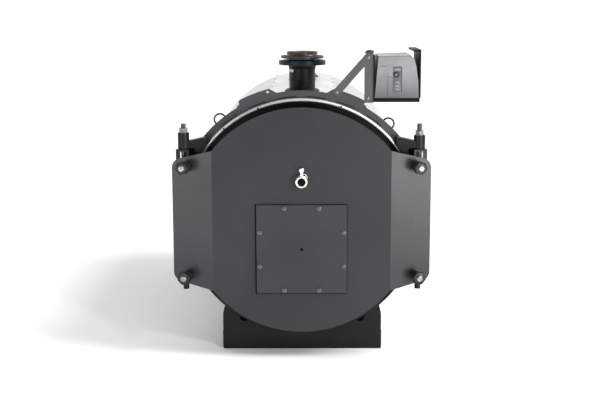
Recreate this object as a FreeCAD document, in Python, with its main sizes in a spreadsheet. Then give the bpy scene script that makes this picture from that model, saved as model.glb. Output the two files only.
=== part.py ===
"""Industrial fire-tube boiler: a parametric FreeCAD model, in millimetres.

Frame: +Z up, +Y from the door to the flue outlet, +X to the right of someone
facing the door.  The origin is on the floor, on the centre line, under the
middle of the front saddle plate.
"""
import FreeCAD, Part
import Sketcher
import os
import re

doc = FreeCAD.newDocument("boiler")
sizes = doc.addObject("Spreadsheet::Sheet", "Sizes")

DRIVING_SIZES = (
    # overall
    ("axis_height", 705, "shell centre line above the floor"),
    ("base_length", 1640, "front face of the front saddle to rear face of the rear one"),
    ("shell_length", 1680, "pressure shell, end to end"),
    ("shell_radius", 530, "pressure shell, outside"),
    ("shell_wall", 12, "pressure shell wall"),
    ("weld_gap", 0.3, "gap left at a seat that a weld fills"),
    # base
    ("base_half", 410, "half the width of a saddle plate at the floor"),
    ("saddle_thickness", 15, "saddle plate"),
    ("saddle_shoulder", 190, "height where the saddle sides begin to lean in"),
    ("saddle_top", 400, "height that the saddle sides are drawn to"),
    ("saddle_lean", 51, "how far each side leans in by that height"),
    ("saddle_hole_radius", 25, "lifting holes in the saddle plates"),
    ("saddle_hole_height", 172, "lifting holes above the floor"),
    ("saddle_hole_offset", 299, "lifting holes from the centre line"),
    ("rail_width", 60, "channel rail flange"),
    ("rail_height", 100, "channel rail web"),
    ("rail_wall", 8, "channel rail thickness"),
    # tube plates, furnace and smoke tubes
    ("tube_plate_thickness", 20, "front and rear tube plates"),
    ("furnace_radius", 225, "furnace tube, inside"),
    ("furnace_wall", 14, "furnace tube wall"),
    ("furnace_length", 1300, "furnace tube, closed at the rear"),
    ("burner_drop", 139, "burner axis below the shell centre line"),
    ("smoke_tube_radius", 30, "smoke tube, outside"),
    ("smoke_tube_wall", 4, "smoke tube wall"),
    ("outer_row_radius", 430, "outer row of smoke tubes"),
    ("outer_row_sweep", 200, "angle that the outer row spans"),
    ("outer_row_count", 11, "smoke tubes in the outer row"),
    ("inner_row_radius", 330, "inner row of smoke tubes"),
    ("inner_row_sweep", 120, "angle that the inner row spans"),
    ("inner_row_count", 7, "smoke tubes in the inner row"),
    # front flange, seat ring and collar
    ("flange_thickness", 12, "front flange ring"),
    ("seat_ring_radius", 606, "seat ring and front flange, outside"),
    ("seat_ring_wall", 16, "seat ring wall"),
    ("seat_ring_depth", 38, "how far the seat ring stands in front of the flange"),
    ("collar_sheet", 6, "collar plate"),
    ("collar_gap", 0.5, "collar to seat ring"),
    ("collar_radius", 644, "outer edge of the collar arch"),
    ("collar_sweep", 52, "half the angle of the collar arch"),
    ("ear_radius", 672, "outer edge of the collar ears"),
    ("ear_start", 10.6, "angle where an ear rises from the arch"),
    ("ear_end", 31.1, "angle where it falls back"),
    ("ear_slope", 4, "angle that each sloping end takes up"),
    ("ear_hole_ring", 658, "ring that the ear holes lie on"),
    ("ear_hole_radius", 6, "holes in the ears"),
    ("ear_hole_near", 15, "angle of the ear hole near the top"),
    ("ear_hole_far", 29, "angle of the other ear hole"),
    ("slot_ring", 614, "ring that the collar slots lie on"),
    ("slot_width", 4, "collar slots"),
    ("slot_sweep", 4.4, "half the angle of one slot"),
    ("slot_first", 6.9, "angle of the first slot"),
    ("slot_pitch", 14.5, "angle from slot to slot"),
    # cladding
    ("cladding_radius", 612, "side sheets, outside"),
    ("cladding_sheet", 3, "cladding sheets"),
    ("cladding_length", 1822, "cladding, back of the collar to the rear end"),
    ("crown_half_angle", 18, "half the angle of the crown sheet"),
    ("crown_lap", 2, "angle that the crown sheet laps over each side sheet"),
    ("side_end_angle", 138, "angle where a side sheet ends above the base"),
    ("belly_gap", 5, "belly sheet to the saddle plates"),
    # door
    ("door_reach", 140, "door front ahead of the front saddle face"),
    ("door_radius", 569, "round part of the door"),
    ("door_thickness", 14, "door plate"),
    ("door_fold", 445, "fold lines of the wings from the centre line"),
    ("wing_reach", 646, "wing ends from the centre line"),
    ("wing_fold_angle", 12, "wings folded back by"),
    ("wing_end_half", 304.5, "half height of a wing at its end, before rounding"),
    ("wing_corner", 50, "corner radius of a wing"),
    ("lining_radius", 560, "refractory lining of the door"),
    ("lining_depth", 96, "refractory lining, front to back"),
    ("gasket_width", 20, "rope gasket, across"),
    ("door_clearance", 5, "gasket to front flange, door shut"),
    ("burner_port_radius", 165, "burner port through door and lining"),
    ("burner_plate_side", 450, "square blanking plate"),
    ("burner_plate_thickness", 14, "blanking plate"),
    ("burner_plate_hole", 7.5, "centre hole of the blanking plate"),
    ("burner_bolt_ring", 226.5, "burner bolts from the burner axis"),
    ("burner_bolt_radius", 6, "burner bolt shank"),
    ("burner_bolt_head", 11, "burner bolt head, centre to corner"),
    ("burner_bolt_head_height", 8, "burner bolt head"),
    ("burner_washer_radius", 13, "burner bolt washer"),
    ("burner_washer_height", 2.5, "burner bolt washer"),
    ("bolt_hole_gap", 0.5, "play of a bolt in its hole"),
    ("sight_height", 206, "sight glass above the shell centre line"),
    ("sight_radius", 29, "sight glass ring, outside"),
    ("sight_bore", 19, "sight glass bore"),
    ("sight_reach", 42, "sight glass ring ahead of the door"),
    ("sight_lens_thickness", 6, "sight glass disc"),
    ("sight_valve_radius", 7.5, "air valve stem"),
    ("sight_cap_radius", 12.5, "air valve cap"),
    ("sight_valve_height", 18, "air valve stem above the ring"),
    ("sight_cap_height", 19, "air valve cap"),
    # clamp bolts
    ("clamp_offset", 568, "clamp bolts from the centre line, at the door front"),
    ("clamp_height", 277, "clamp bolts above and below the shell centre line"),
    ("clamp_neck", 13, "clamp bolt neck radius"),
    ("clamp_tail", 15, "clamp bolt behind the wing"),
    ("clamp_washer_radius", 30, "clamp washer"),
    ("clamp_washer_height", 6, "clamp washer"),
    ("clamp_sleeve_radius", 22, "distance sleeve between washer and nut"),
    ("clamp_nut_seat", 58, "clamp nut ahead of the wing"),
    ("clamp_nut_corner", 34, "clamp nut, centre to corner"),
    ("clamp_nut_height", 31, "clamp nut"),
    ("clamp_stud_radius", 18, "clamp stud"),
    ("clamp_stud_end", 95, "clamp stud end ahead of the wing"),
    ("clamp_block_inner", 520, "clamp block, nearest to the centre line"),
    ("clamp_block_outer", 574, "clamp block, furthest from it"),
    ("clamp_block_half", 30, "half the height of a clamp block"),
    ("clamp_block_reach", 64.5, "clamp block ahead of the front flange"),
    # hinges
    ("hinge_offset", 590, "hinge line from the centre line"),
    ("hinge_setback", 84, "hinge line behind the door front"),
    ("pin_play", 0.5, "play of a hinge pin in its hole"),
    ("lug_play", 2, "door lug to hinge sleeve"),
    ("spindle_radius", 13.5, "threaded spindle"),
    ("spindle_top", 1187, "top of the spindle above the floor"),
    ("spindle_tail", 40, "spindle below the top lug"),
    ("spindle_nut_corner", 23.7, "spindle nut, centre to corner"),
    ("spindle_nut_height", 22, "spindle nut"),
    ("spindle_washer_radius", 24, "spindle washer"),
    ("spindle_washer_height", 3, "spindle washer"),
    ("sleeve_radius", 28.5, "hinge sleeve"),
    ("sleeve_foot", 357, "foot of the upper sleeves above the shell centre line"),
    ("sleeve_height_left", 79, "upper left sleeve"),
    ("sleeve_height_right", 66, "upper right sleeve"),
    ("arm_depth", 58, "hinge arm, front to back"),
    ("arm_root", 474, "hinge arm root from the centre line"),
    ("arm_root_top", 417, "top of the arm root above the shell centre line"),
    ("arm_root_foot", 392, "foot of the arm root above it"),
    ("arm_tip", 575, "hinge arm tip from the centre line"),
    ("arm_tip_top", 394, "top of the arm tip above the shell centre line"),
    ("arm_heel", 536, "arm heel from the centre line"),
    ("arm_rise", 4, "underside of the arm above the foot of the sleeve"),
    ("arm_tail", 500, "where the arm's tail meets the seat ring, from the centre line"),
    ("arm_tail_foot", 295, "foot of that tail above the shell centre line"),
    ("backing_foot", 309, "foot of the collar behind an arm, above the shell centre line"),
    ("lug_thickness", 10, "door lug plates"),
    ("lug_inner", 560, "lug plate, nearest to the centre line"),
    ("lug_outer", 626, "lug plate, furthest from it"),
    ("lug_eye", 24.5, "round of a lug about its pin"),
    ("lug_web", 20, "web that joins a lug to the wing"),
    ("lug_web_height", 85, "height of that web"),
    ("lug_cheek", 12, "inner cheek of a top lug"),
    ("lug_cheek_height", 45, "height of that cheek"),
    ("pin_radius", 15, "lower hinge pin"),
    ("pin_foot", 365, "foot of the lower pin below the shell centre line"),
    ("pivot_top", 170, "top of the lower hinge block below the shell centre line"),
    ("pivot_foot", 229, "foot of the lower hinge block below it"),
    ("pivot_radius", 24, "round of the lower hinge block"),
    ("pivot_half", 18, "half the width of its root"),
    # nozzles, all DN125 PN16
    ("nozzle_radius", 69.85, "nozzle pipe, outside"),
    ("nozzle_wall", 5, "nozzle pipe wall"),
    ("nozzle_flange_radius", 125, "nozzle flange"),
    ("nozzle_flange_thickness", 22, "nozzle flange"),
    ("nozzle_hub_height", 18, "tapered hub of the flange"),
    ("nozzle_hub_radius", 78, "hub at the flange"),
    ("nozzle_face_radius", 94, "raised face"),
    ("nozzle_face_height", 2, "raised face"),
    ("nozzle_bolt_ring", 105, "bolt holes from the nozzle axis"),
    ("nozzle_bolt_hole", 9, "bolt hole radius"),
    ("nozzle_bolt_count", 8, "bolt holes"),
    ("cladding_hole_gap", 6, "cladding to nozzle pipe"),
    ("flow_place", 352.5, "flow nozzle behind the origin"),
    ("flow_top", 1480, "flow flange face above the floor"),
    ("return_place", 1400, "return nozzle behind the origin"),
    ("return_top", 1425, "return flange face above the floor"),
    ("seal_radius", 70, "protective seal on the flow flange"),
    ("seal_height", 10, "protective seal on the flow flange"),
    ("blank_radius", 114.5, "shipping disc"),
    ("blank_height", 14, "shipping disc"),
    ("cap_radius", 83, "shipping cap"),
    ("cap_height", 21, "shipping cap"),
    # rear end
    ("smoke_box_radius", 500, "smoke box, outside"),
    ("smoke_box_wall", 6, "smoke box wall and cover"),
    ("smoke_box_length", 160, "smoke box, front to back"),
    ("flue_radius", 125, "flue spigot, outside"),
    ("flue_wall", 4, "flue spigot wall"),
    ("flue_length", 84, "flue spigot"),
    ("flue_rise", 180, "flue spigot above the shell centre line"),
    ("hatch_half_width", 230, "half the width of the cleaning hatch"),
    ("hatch_height", 180, "cleaning hatch"),
    ("hatch_thickness", 12, "cleaning hatch"),
    ("hatch_drop", 330, "foot of the cleaning hatch below the shell centre line"),
    # lifting rings
    ("lifting_ring_radius", 29, "lifting ring, to the middle of its rod"),
    ("lifting_ring_rod", 4, "lifting ring rod radius"),
    ("lifting_left_angle", 39.6, "left lifting ring from the top"),
    ("lifting_right_angle", 42.6, "right lifting ring from the top"),
    # control unit
    ("bracket_sheet", 4, "control bracket"),
    ("bracket_foot_x", 176, "hole in the strut foot, from the centre line"),
    ("bracket_foot_z", 1340, "hole in the strut foot, above the floor"),
    ("bracket_hole_radius", 6, "holes in the bracket"),
    ("post_left", 313.5, "left edge of the bracket post"),
    ("post_right", 359.5, "right edge of the bracket post"),
    ("post_foot", 1287, "foot of the post above the floor"),
    ("post_top", 1549, "top of the post above the floor"),
    ("post_hole_x", 332, "post holes from the centre line"),
    ("post_hole_low", 1311, "lower post hole above the floor"),
    ("post_hole_high", 1512.7, "upper post hole above the floor"),
    ("post_return", 85, "flange that the post turns back"),
    ("side_plate", 6, "side plate of the control unit"),
    ("control_front", 36, "front of the control unit ahead of the origin"),
    ("control_depth", 290, "control unit, front to back"),
    ("control_foot", 1291, "foot of the control unit above the floor"),
    ("control_tray_height", 21, "tray under the control unit"),
    ("control_right", 586, "right edge of the case at its foot"),
    ("control_top", 1525, "top of the case above the floor"),
    ("fascia_thickness", 9, "operating panel"),
    ("fascia_top", 1552, "top of the operating panel above the floor"),
    ("fascia_hook", 28, "hooked top edge of the operating panel"),
    ("strip_left", 455, "left edge of the switch strip"),
    ("strip_width", 46, "switch strip"),
    ("strip_foot", 1344, "foot of the switch strip above the floor"),
    ("strip_height", 126, "switch strip"),
    ("strip_recess", 6, "depth of its recess"),
    ("strip_plate", 3, "switch strip plate"),
    ("knob_radius", 14, "ring knob on the strip"),
    ("knob_height", 12, "ring knob"),
)

for row, (alias, number, meaning) in enumerate(DRIVING_SIZES, start=1):
    sizes.set("A%d" % row, meaning)
    sizes.set("B%d" % row, str(number))
    sizes.setAlias("B%d" % row, alias)
doc.recompute()

ALIASES = {alias for alias, number, meaning in DRIVING_SIZES}
nodes = []


# ---- working with formulas ---------------------------------------------------

def cells(formula):
    """A formula in size names, written so that it reads the sheet."""
    return re.sub(r"[a-z][a-z_0-9]*",
                  lambda word: "Sizes." + word[0] if word[0] in ALIASES else word[0],
                  str(formula))


def number(formula):
    """The present value of a formula, for a sketch's first guess."""
    value = sizes.evalExpression(cells(formula))
    return float(getattr(value, "Value", value))


def bind(thing, **formulas):
    for name, formula in formulas.items():
        thing.setExpression(name, cells(formula))
    return thing


def place(thing, x=0, y=0, z=0):
    """Hold a thing's base point at three formulas."""
    for axis, formula in (("x", x), ("y", y), ("z", z)):
        thing.setExpression("Placement.Base." + axis, cells(formula))
    return thing


def node(name, thing):
    """Keep a finished piece under the name of its node."""
    thing.Label = name
    nodes.append(thing)
    return thing


# ---- primitives and booleans -------------------------------------------------

ALONG = {
    "x": FreeCAD.Rotation(FreeCAD.Vector(0, 1, 0), 90),
    "y": FreeCAD.Rotation(FreeCAD.Vector(1, 0, 0), -90),
    "z": FreeCAD.Rotation(),
}


def box(name, x, y, z, width, depth, height):
    """A block from its low corner."""
    block = doc.addObject("Part::Box", name)
    bind(block, Length=width, Width=depth, Height=height)
    return place(block, x, y, z)


def rod(name, axis, radius, length, x, y, z):
    """A round bar that starts at x, y, z and runs along an axis."""
    bar = doc.addObject("Part::Cylinder", name)
    bar.Placement.Rotation = ALONG[axis]
    bind(bar, Radius=radius, Height=length)
    return place(bar, x, y, z)


def hexagon(name, axis, corner, height, x, y, z):
    """A hexagon bar, as a nut or a bolt head is."""
    bar = doc.addObject("Part::Prism", name)
    bar.Polygon = 6
    bar.Placement.Rotation = ALONG[axis]
    bind(bar, Circumradius=corner, Height=height)
    return place(bar, x, y, z)


def fuse(name, *parts):
    whole = doc.addObject("Part::MultiFuse", name)
    whole.Shapes = list(parts)
    return whole


def common(name, *parts):
    whole = doc.addObject("Part::MultiCommon", name)
    whole.Shapes = list(parts)
    return whole


def cut(name, base, *tools):
    whole = doc.addObject("Part::Cut", name)
    whole.Base = base
    whole.Tool = tools[0] if len(tools) == 1 else fuse(name + "_tools", *tools)
    return whole


def mirror(name, source):
    """The same piece on the other side of the centre line."""
    twin = doc.addObject("Part::Mirroring", name)
    twin.Source = source
    twin.Normal = FreeCAD.Vector(1, 0, 0)
    return twin


def pipe(name, axis, outer, inner, length, x, y, z):
    return cut(name,
               rod(name + "_outside", axis, outer, length, x, y, z),
               rod(name + "_inside", axis, inner, length, x, y, z))


# ---- sketched bodies ---------------------------------------------------------

def new_sketch(body, role, name):
    sketch = body.newObject("Sketcher::SketchObject", name)
    plane = next(item for item in body.Origin.OriginFeatures if item.Role == role)
    sketch.AttachmentSupport = [(plane, "")]
    sketch.MapMode = "FlatFace"
    return sketch


def hold(sketch, geometry, point, x, y):
    """Hold one sketch point at two formulas, or on an axis where one is 0."""
    for kind, formula, axis in (("DistanceX", x, -2), ("DistanceY", y, -1)):
        if formula == 0:
            sketch.addConstraint(Sketcher.Constraint("PointOnObject", geometry, point, axis))
            continue
        index = sketch.addConstraint(
            Sketcher.Constraint(kind, -1, 1, geometry, point, number(formula)))
        sketch.setExpression("Constraints[%d]" % index, cells(formula))


def draw_outline(sketch, corners):
    """A closed outline of straight sides, each corner held by its formulas."""
    points = [FreeCAD.Vector(number(x), number(y), 0) for x, y in corners]
    first = sketch.GeometryCount
    count = len(points)
    for index in range(count):
        sketch.addGeometry(Part.LineSegment(points[index], points[(index + 1) % count]), False)
    for index, (x, y) in enumerate(corners):
        after = first + (index + 1) % count
        sketch.addConstraint(Sketcher.Constraint("Coincident", first + index, 2, after, 1))
        hold(sketch, first + index, 1, x, y)


def draw_circle(sketch, x, y, radius):
    centre = FreeCAD.Vector(number(x), number(y), 0)
    circle = Part.Circle(centre, FreeCAD.Vector(0, 0, 1), number(radius))
    index = sketch.addGeometry(circle, False)
    hold(sketch, index, 3, x, y)
    at = sketch.addConstraint(Sketcher.Constraint("Radius", index, number(radius)))
    sketch.setExpression("Constraints[%d]" % at, cells(radius))


def pad(body, sketch, name, length):
    """Thicken a sketch on the XZ plane towards +Y."""
    feature = body.newObject("PartDesign::Pad", name)
    feature.Profile = sketch
    feature.Reversed = True
    return bind(feature, Length=length)


def pocket(body, sketch, name, depth):
    """Cut a sketch on the XZ plane into what lies on its +Y side."""
    feature = body.newObject("PartDesign::Pocket", name)
    feature.Profile = sketch
    feature.Reversed = False
    bind(feature, Length=depth)
    doc.recompute()
    if abs(feature.Shape.Volume - feature.BaseFeature.Shape.Volume) < 1:
        raise RuntimeError(name + " cuts nothing")
    return feature


def polar(body, original, sketch, name, sweep, count):
    """Repeat a feature about the normal of its own sketch."""
    pattern = body.newObject("PartDesign::PolarPattern", name)
    pattern.Originals = [original]
    pattern.Axis = (sketch, ["N_Axis"])
    bind(pattern, Angle=sweep, Occurrences=count)
    body.Tip = pattern
    return pattern


def plate(name, corners, thickness, y, holes=()):
    """A flat plate across the boiler, from an outline in X and Z."""
    body = doc.addObject("PartDesign::Body", name)
    sketch = new_sketch(body, "XZ_Plane", name + "_outline")
    draw_outline(sketch, corners)
    pad(body, sketch, name + "_pad", thickness)
    if holes:
        doc.recompute()
        drilling = new_sketch(body, "XZ_Plane", name + "_holes")
        for x, z, radius in holes:
            draw_circle(drilling, x, z, radius)
        pocket(body, drilling, name + "_drilling", thickness)
    return place(body, y=y)


def ring_sector(name, inner, outer, y, length, half_angle, middle_angle=0):
    """Part of a ring about the shell axis, middle_angle round from the top."""
    body = doc.addObject("PartDesign::Body", name)
    sketch = new_sketch(body, "YZ_Plane", name + "_section")
    draw_outline(sketch, ((0, inner), (length, inner), (length, outer), (0, outer)))
    turn = body.newObject("PartDesign::Revolution", name + "_turn")
    turn.Profile = sketch
    turn.ReferenceAxis = (sketch, ["H_Axis"])
    turn.Midplane = True
    bind(turn, Angle="2 * (%s)" % half_angle)
    body.Placement.Rotation = FreeCAD.Rotation(FreeCAD.Vector(0, 1, 0), 1)
    body.setExpression("Placement.Rotation.Angle", cells(middle_angle))
    return place(body, y=y, z="axis_height")


# ---- base --------------------------------------------------------------------
# Two saddle plates cut to the shell and two channel rails between them.

SADDLE_FRONT = "-saddle_thickness / 2"


def saddle(name, y):
    body = plate(name, (
        ("-base_half", 0), ("base_half", 0),
        ("base_half", "saddle_shoulder"), ("base_half - saddle_lean", "saddle_top"),
        ("saddle_lean - base_half", "saddle_top"), ("-base_half", "saddle_shoulder"),
    ), "saddle_thickness", y, holes=(
        ("saddle_hole_offset", "saddle_hole_height", "saddle_hole_radius"),
        ("-saddle_hole_offset", "saddle_hole_height", "saddle_hole_radius"),
    ))
    cradle = new_sketch(body, "XZ_Plane", name + "_cradle")
    draw_circle(cradle, 0, "axis_height", "shell_radius + weld_gap")
    pocket(body, cradle, name + "_cradle_cut", "saddle_thickness")
    return node(name, body)


saddle("saddle_front", SADDLE_FRONT)
saddle("saddle_rear", "base_length - saddle_thickness * 3 / 2")

rail_right = plate("rail_right", (
    ("base_half", 0), ("base_half", "rail_height"),
    ("base_half - rail_width", "rail_height"),
    ("base_half - rail_width", "rail_height - rail_wall"),
    ("base_half - rail_wall", "rail_height - rail_wall"),
    ("base_half - rail_wall", "rail_wall"),
    ("base_half - rail_width", "rail_wall"),
    ("base_half - rail_width", 0),
), "base_length - 2 * saddle_thickness", "saddle_thickness / 2")
node("rail_right", rail_right)
node("rail_left", mirror("rail_left", rail_right))


# ---- pressure body -----------------------------------------------------------
# The shell runs from the front flange to the smoke box.  Its tube plates close
# it: the furnace opens through the front one, and smoke tubes join the two.

SHELL_FRONT = SADDLE_FRONT
PLATE_FRONT = SHELL_FRONT + " - tube_plate_thickness"
SHELL_REAR = SHELL_FRONT + " + shell_length"

shell_wall = pipe("shell_wall_tube", "y", "shell_radius", "shell_radius - shell_wall",
                  "shell_length", 0, SHELL_FRONT, "axis_height")
nozzle_bores = [
    rod(name + "_bore", "z", "nozzle_radius - nozzle_wall", "cladding_radius + collar_radius",
        0, y, "axis_height")
    for name, y in (("flow", "flow_place"), ("return", "return_place"))
]
node("pressure_shell", cut("pressure_shell", shell_wall, *nozzle_bores))


def tube_holes(body, name, row, depth):
    """One row of round openings about the shell axis, as a pattern."""
    sketch = new_sketch(body, "XZ_Plane", "%s_%s_hole" % (name, row))
    draw_circle(sketch, "%s_radius * sin(%s_sweep / 2)" % (row, row),
                "%s_radius * cos(%s_sweep / 2)" % (row, row),
                "smoke_tube_radius - smoke_tube_wall")
    hole = pocket(body, sketch, "%s_%s_cut" % (name, row), depth)
    polar(body, hole, sketch, "%s_%s_holes" % (name, row), row + "_sweep", row + "_count")
    doc.recompute()


def tube_plate(name, y, radius, burner_opening):
    body = doc.addObject("PartDesign::Body", name)
    sketch = new_sketch(body, "XZ_Plane", name + "_outline")
    draw_circle(sketch, 0, 0, radius)
    if burner_opening:
        draw_circle(sketch, 0, "-burner_drop", "furnace_radius")
    pad(body, sketch, name + "_pad", "tube_plate_thickness")
    doc.recompute()
    for row in ("outer_row", "inner_row"):
        tube_holes(body, name, row, "tube_plate_thickness")
    return node(name, place(body, y=y, z="axis_height"))


tube_plate("front_tube_plate", PLATE_FRONT, "shell_radius", True)
tube_plate("rear_tube_plate", SHELL_REAR + " - tube_plate_thickness",
           "shell_radius - shell_wall - weld_gap", False)

smoke_tubes = doc.addObject("PartDesign::Body", "smoke_tubes")
smoke_tubes.AllowCompound = True
for row in ("outer_row", "inner_row"):
    ends = new_sketch(smoke_tubes, "XZ_Plane", row + "_section")
    for radius in ("smoke_tube_radius", "smoke_tube_radius - smoke_tube_wall"):
        draw_circle(ends, "%s_radius * sin(%s_sweep / 2)" % (row, row),
                    "%s_radius * cos(%s_sweep / 2)" % (row, row), radius)
    tube = pad(smoke_tubes, ends, row + "_tube", "shell_length - tube_plate_thickness")
    doc.recompute()
    polar(smoke_tubes, tube, ends, row + "_tubes", row + "_sweep", row + "_count")
    doc.recompute()
place(smoke_tubes, y=SHELL_FRONT, z="axis_height")
node("smoke_tubes", smoke_tubes)

node("furnace_tube", cut(
    "furnace_tube",
    rod("furnace_outside", "y", "furnace_radius + furnace_wall", "furnace_length",
        0, SHELL_FRONT, "axis_height - burner_drop"),
    rod("furnace_inside", "y", "furnace_radius", "furnace_length - furnace_wall",
        0, SHELL_FRONT, "axis_height - burner_drop")))


# ---- front flange, seat ring and collar --------------------------------------
# The flange is welded round the shell end.  The seat ring stands on it, and the
# collar is the plate arch outside that ring, with ears, slots and two arms.

FLANGE_FRONT = SADDLE_FRONT + " - flange_thickness"
COLLAR_FRONT = FLANGE_FRONT + " - collar_sheet"

node("front_flange", pipe("front_flange", "y", "seat_ring_radius",
                          "shell_radius + weld_gap", "flange_thickness",
                          0, FLANGE_FRONT, "axis_height"))
node("door_seat_ring", pipe("door_seat_ring", "y", "seat_ring_radius",
                            "seat_ring_radius - seat_ring_wall", "seat_ring_depth",
                            0, FLANGE_FRONT + " - seat_ring_depth", "axis_height"))


def turned(radius, angle):
    """X and Z of a point on a ring about the shell axis, from the top."""
    return ("(%s) * sin(%s)" % (radius, angle),
            "axis_height + (%s) * cos(%s)" % (radius, angle))


def ear(name, side):
    """One raised ear: a plate with sloping ends, rounded to the ear radius."""
    foot = "collar_radius - collar_sheet"
    tip = "ear_radius + collar_sheet"
    middle = "%d * (ear_start + ear_end) / 2" % side
    raw = plate(name + "_raw", (
        turned(foot, "%d * ear_start" % side),
        turned(tip, "%d * (ear_start + ear_slope)" % side),
        turned("ear_radius * 1.05", middle),
        turned(tip, "%d * (ear_end - ear_slope)" % side),
        turned(foot, "%d * ear_end" % side),
    ), "collar_sheet", COLLAR_FRONT)
    rim = rod(name + "_rim", "y", "ear_radius", "collar_sheet", 0, COLLAR_FRONT, "axis_height")
    return common(name, raw, rim)


def arm_backing(name, side):
    """The part of the collar that runs out behind one hinge arm."""
    def at(x, z):
        return "%d * (%s)" % (side, x), "axis_height + " + z
    return plate(name, (
        at("arm_root * 0.8", "arm_root_top * 1.2"), at("arm_root", "arm_root_top"),
        at("hinge_offset - sleeve_radius", "arm_tip_top"),
        at("hinge_offset - sleeve_radius", "backing_foot"),
        at("arm_root * 0.8", "backing_foot"),
    ), "collar_sheet", COLLAR_FRONT)


arch = ring_sector("collar_arch", "seat_ring_radius", "collar_radius",
                   COLLAR_FRONT, "collar_sheet", "collar_sweep")
collar_cuts = [rod("collar_opening", "y", "seat_ring_radius + collar_gap", "collar_sheet",
                   0, COLLAR_FRONT, "axis_height")]
for side, word in ((-1, "left"), (1, "right")):
    for index in range(3):
        collar_cuts.append(ring_sector(
            "slot_%s_%d" % (word, index), "slot_ring - slot_width / 2",
            "slot_ring + slot_width / 2", COLLAR_FRONT, "collar_sheet", "slot_sweep",
            "%d * (slot_first + %d * slot_pitch)" % (side, index)))
    for place_word in ("near", "far"):
        x, z = turned("ear_hole_ring", "%d * ear_hole_%s" % (side, place_word))
        collar_cuts.append(rod("ear_hole_%s_%s" % (word, place_word), "y", "ear_hole_radius",
                               "collar_sheet", x, COLLAR_FRONT, z))
node("front_collar", cut(
    "front_collar",
    fuse("collar_plate", arch, ear("ear_left", -1), ear("ear_right", 1),
         arm_backing("backing_left", -1), arm_backing("backing_right", 1)),
    *collar_cuts))


# ---- cladding ----------------------------------------------------------------
# Rolled sheets over the insulation: two sides, a crown that laps over them, a
# belly between and behind the saddles, and a ring that closes the rear end.

SIDE_INNER = "cladding_radius - cladding_sheet"
CROWN_INNER = "cladding_radius + weld_gap"
CLADDING_REAR = FLANGE_FRONT + " + cladding_length"
SIDE_HALF = "(side_end_angle - crown_half_angle + crown_lap) / 2"
SIDE_MIDDLE = "(side_end_angle + crown_half_angle - crown_lap) / 2"
BELLY_HALF = "180 - side_end_angle"

cladding_right = ring_sector("cladding_right", SIDE_INNER, "cladding_radius",
                             FLANGE_FRONT, "cladding_length", SIDE_HALF, SIDE_MIDDLE)
node("cladding_right", cladding_right)
node("cladding_left", mirror("cladding_left", cladding_right))

crown = ring_sector("crown_sheet", CROWN_INNER, CROWN_INNER + " + cladding_sheet",
                    FLANGE_FRONT, "cladding_length", "crown_half_angle")
nozzle_holes = [
    rod(name + "_cladding_hole", "z", "nozzle_radius + cladding_hole_gap", "collar_radius",
        0, y, "axis_height")
    for name, y in (("flow", "flow_place"), ("return", "return_place"))
]
node("cladding_crown", cut("cladding_crown", crown, *nozzle_holes))

belly_between = ring_sector("belly_between", SIDE_INNER, "cladding_radius",
                            "saddle_thickness / 2 + belly_gap",
                            "base_length - 2 * saddle_thickness - 2 * belly_gap",
                            BELLY_HALF, 180)
belly_behind = ring_sector("belly_behind", SIDE_INNER, "cladding_radius",
                           "base_length - saddle_thickness / 2 + belly_gap",
                           CLADDING_REAR + " - (base_length - saddle_thickness / 2 + belly_gap)",
                           BELLY_HALF, 180)
node("cladding_belly", fuse("cladding_belly", belly_between, belly_behind))


# ---- smoke box and flue outlet -----------------------------------------------

BOX_REAR = SHELL_REAR + " + smoke_box_length"
COVER_REAR = BOX_REAR + " + smoke_box_wall"
FLUE_AXIS = "axis_height + flue_rise"

node("rear_ring", pipe("rear_ring", "y", "cladding_radius", "smoke_box_radius + weld_gap",
                       "cladding_sheet", 0, CLADDING_REAR, "axis_height"))
node("smoke_box", pipe("smoke_box", "y", "smoke_box_radius",
                       "smoke_box_radius - smoke_box_wall", "smoke_box_length",
                       0, SHELL_REAR, "axis_height"))
node("smoke_box_cover", cut(
    "smoke_box_cover",
    rod("cover_disc", "y", "smoke_box_radius", "smoke_box_wall", 0, BOX_REAR, "axis_height"),
    rod("cover_flue_hole", "y", "flue_radius - flue_wall", "smoke_box_wall",
        0, BOX_REAR, FLUE_AXIS)))
node("flue_spigot", pipe("flue_spigot", "y", "flue_radius", "flue_radius - flue_wall",
                         "flue_length", 0, COVER_REAR, FLUE_AXIS))
node("cleaning_hatch", box("cleaning_hatch", "-hatch_half_width", COVER_REAR,
                           "axis_height - hatch_drop", "2 * hatch_half_width",
                           "hatch_thickness", "hatch_height"))


# ---- nozzles -----------------------------------------------------------------
# Weld-neck flanges on short pipes that seat on the shell.  The flow nozzle
# still has the seal, disc and cap that it was shipped with.

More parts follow.
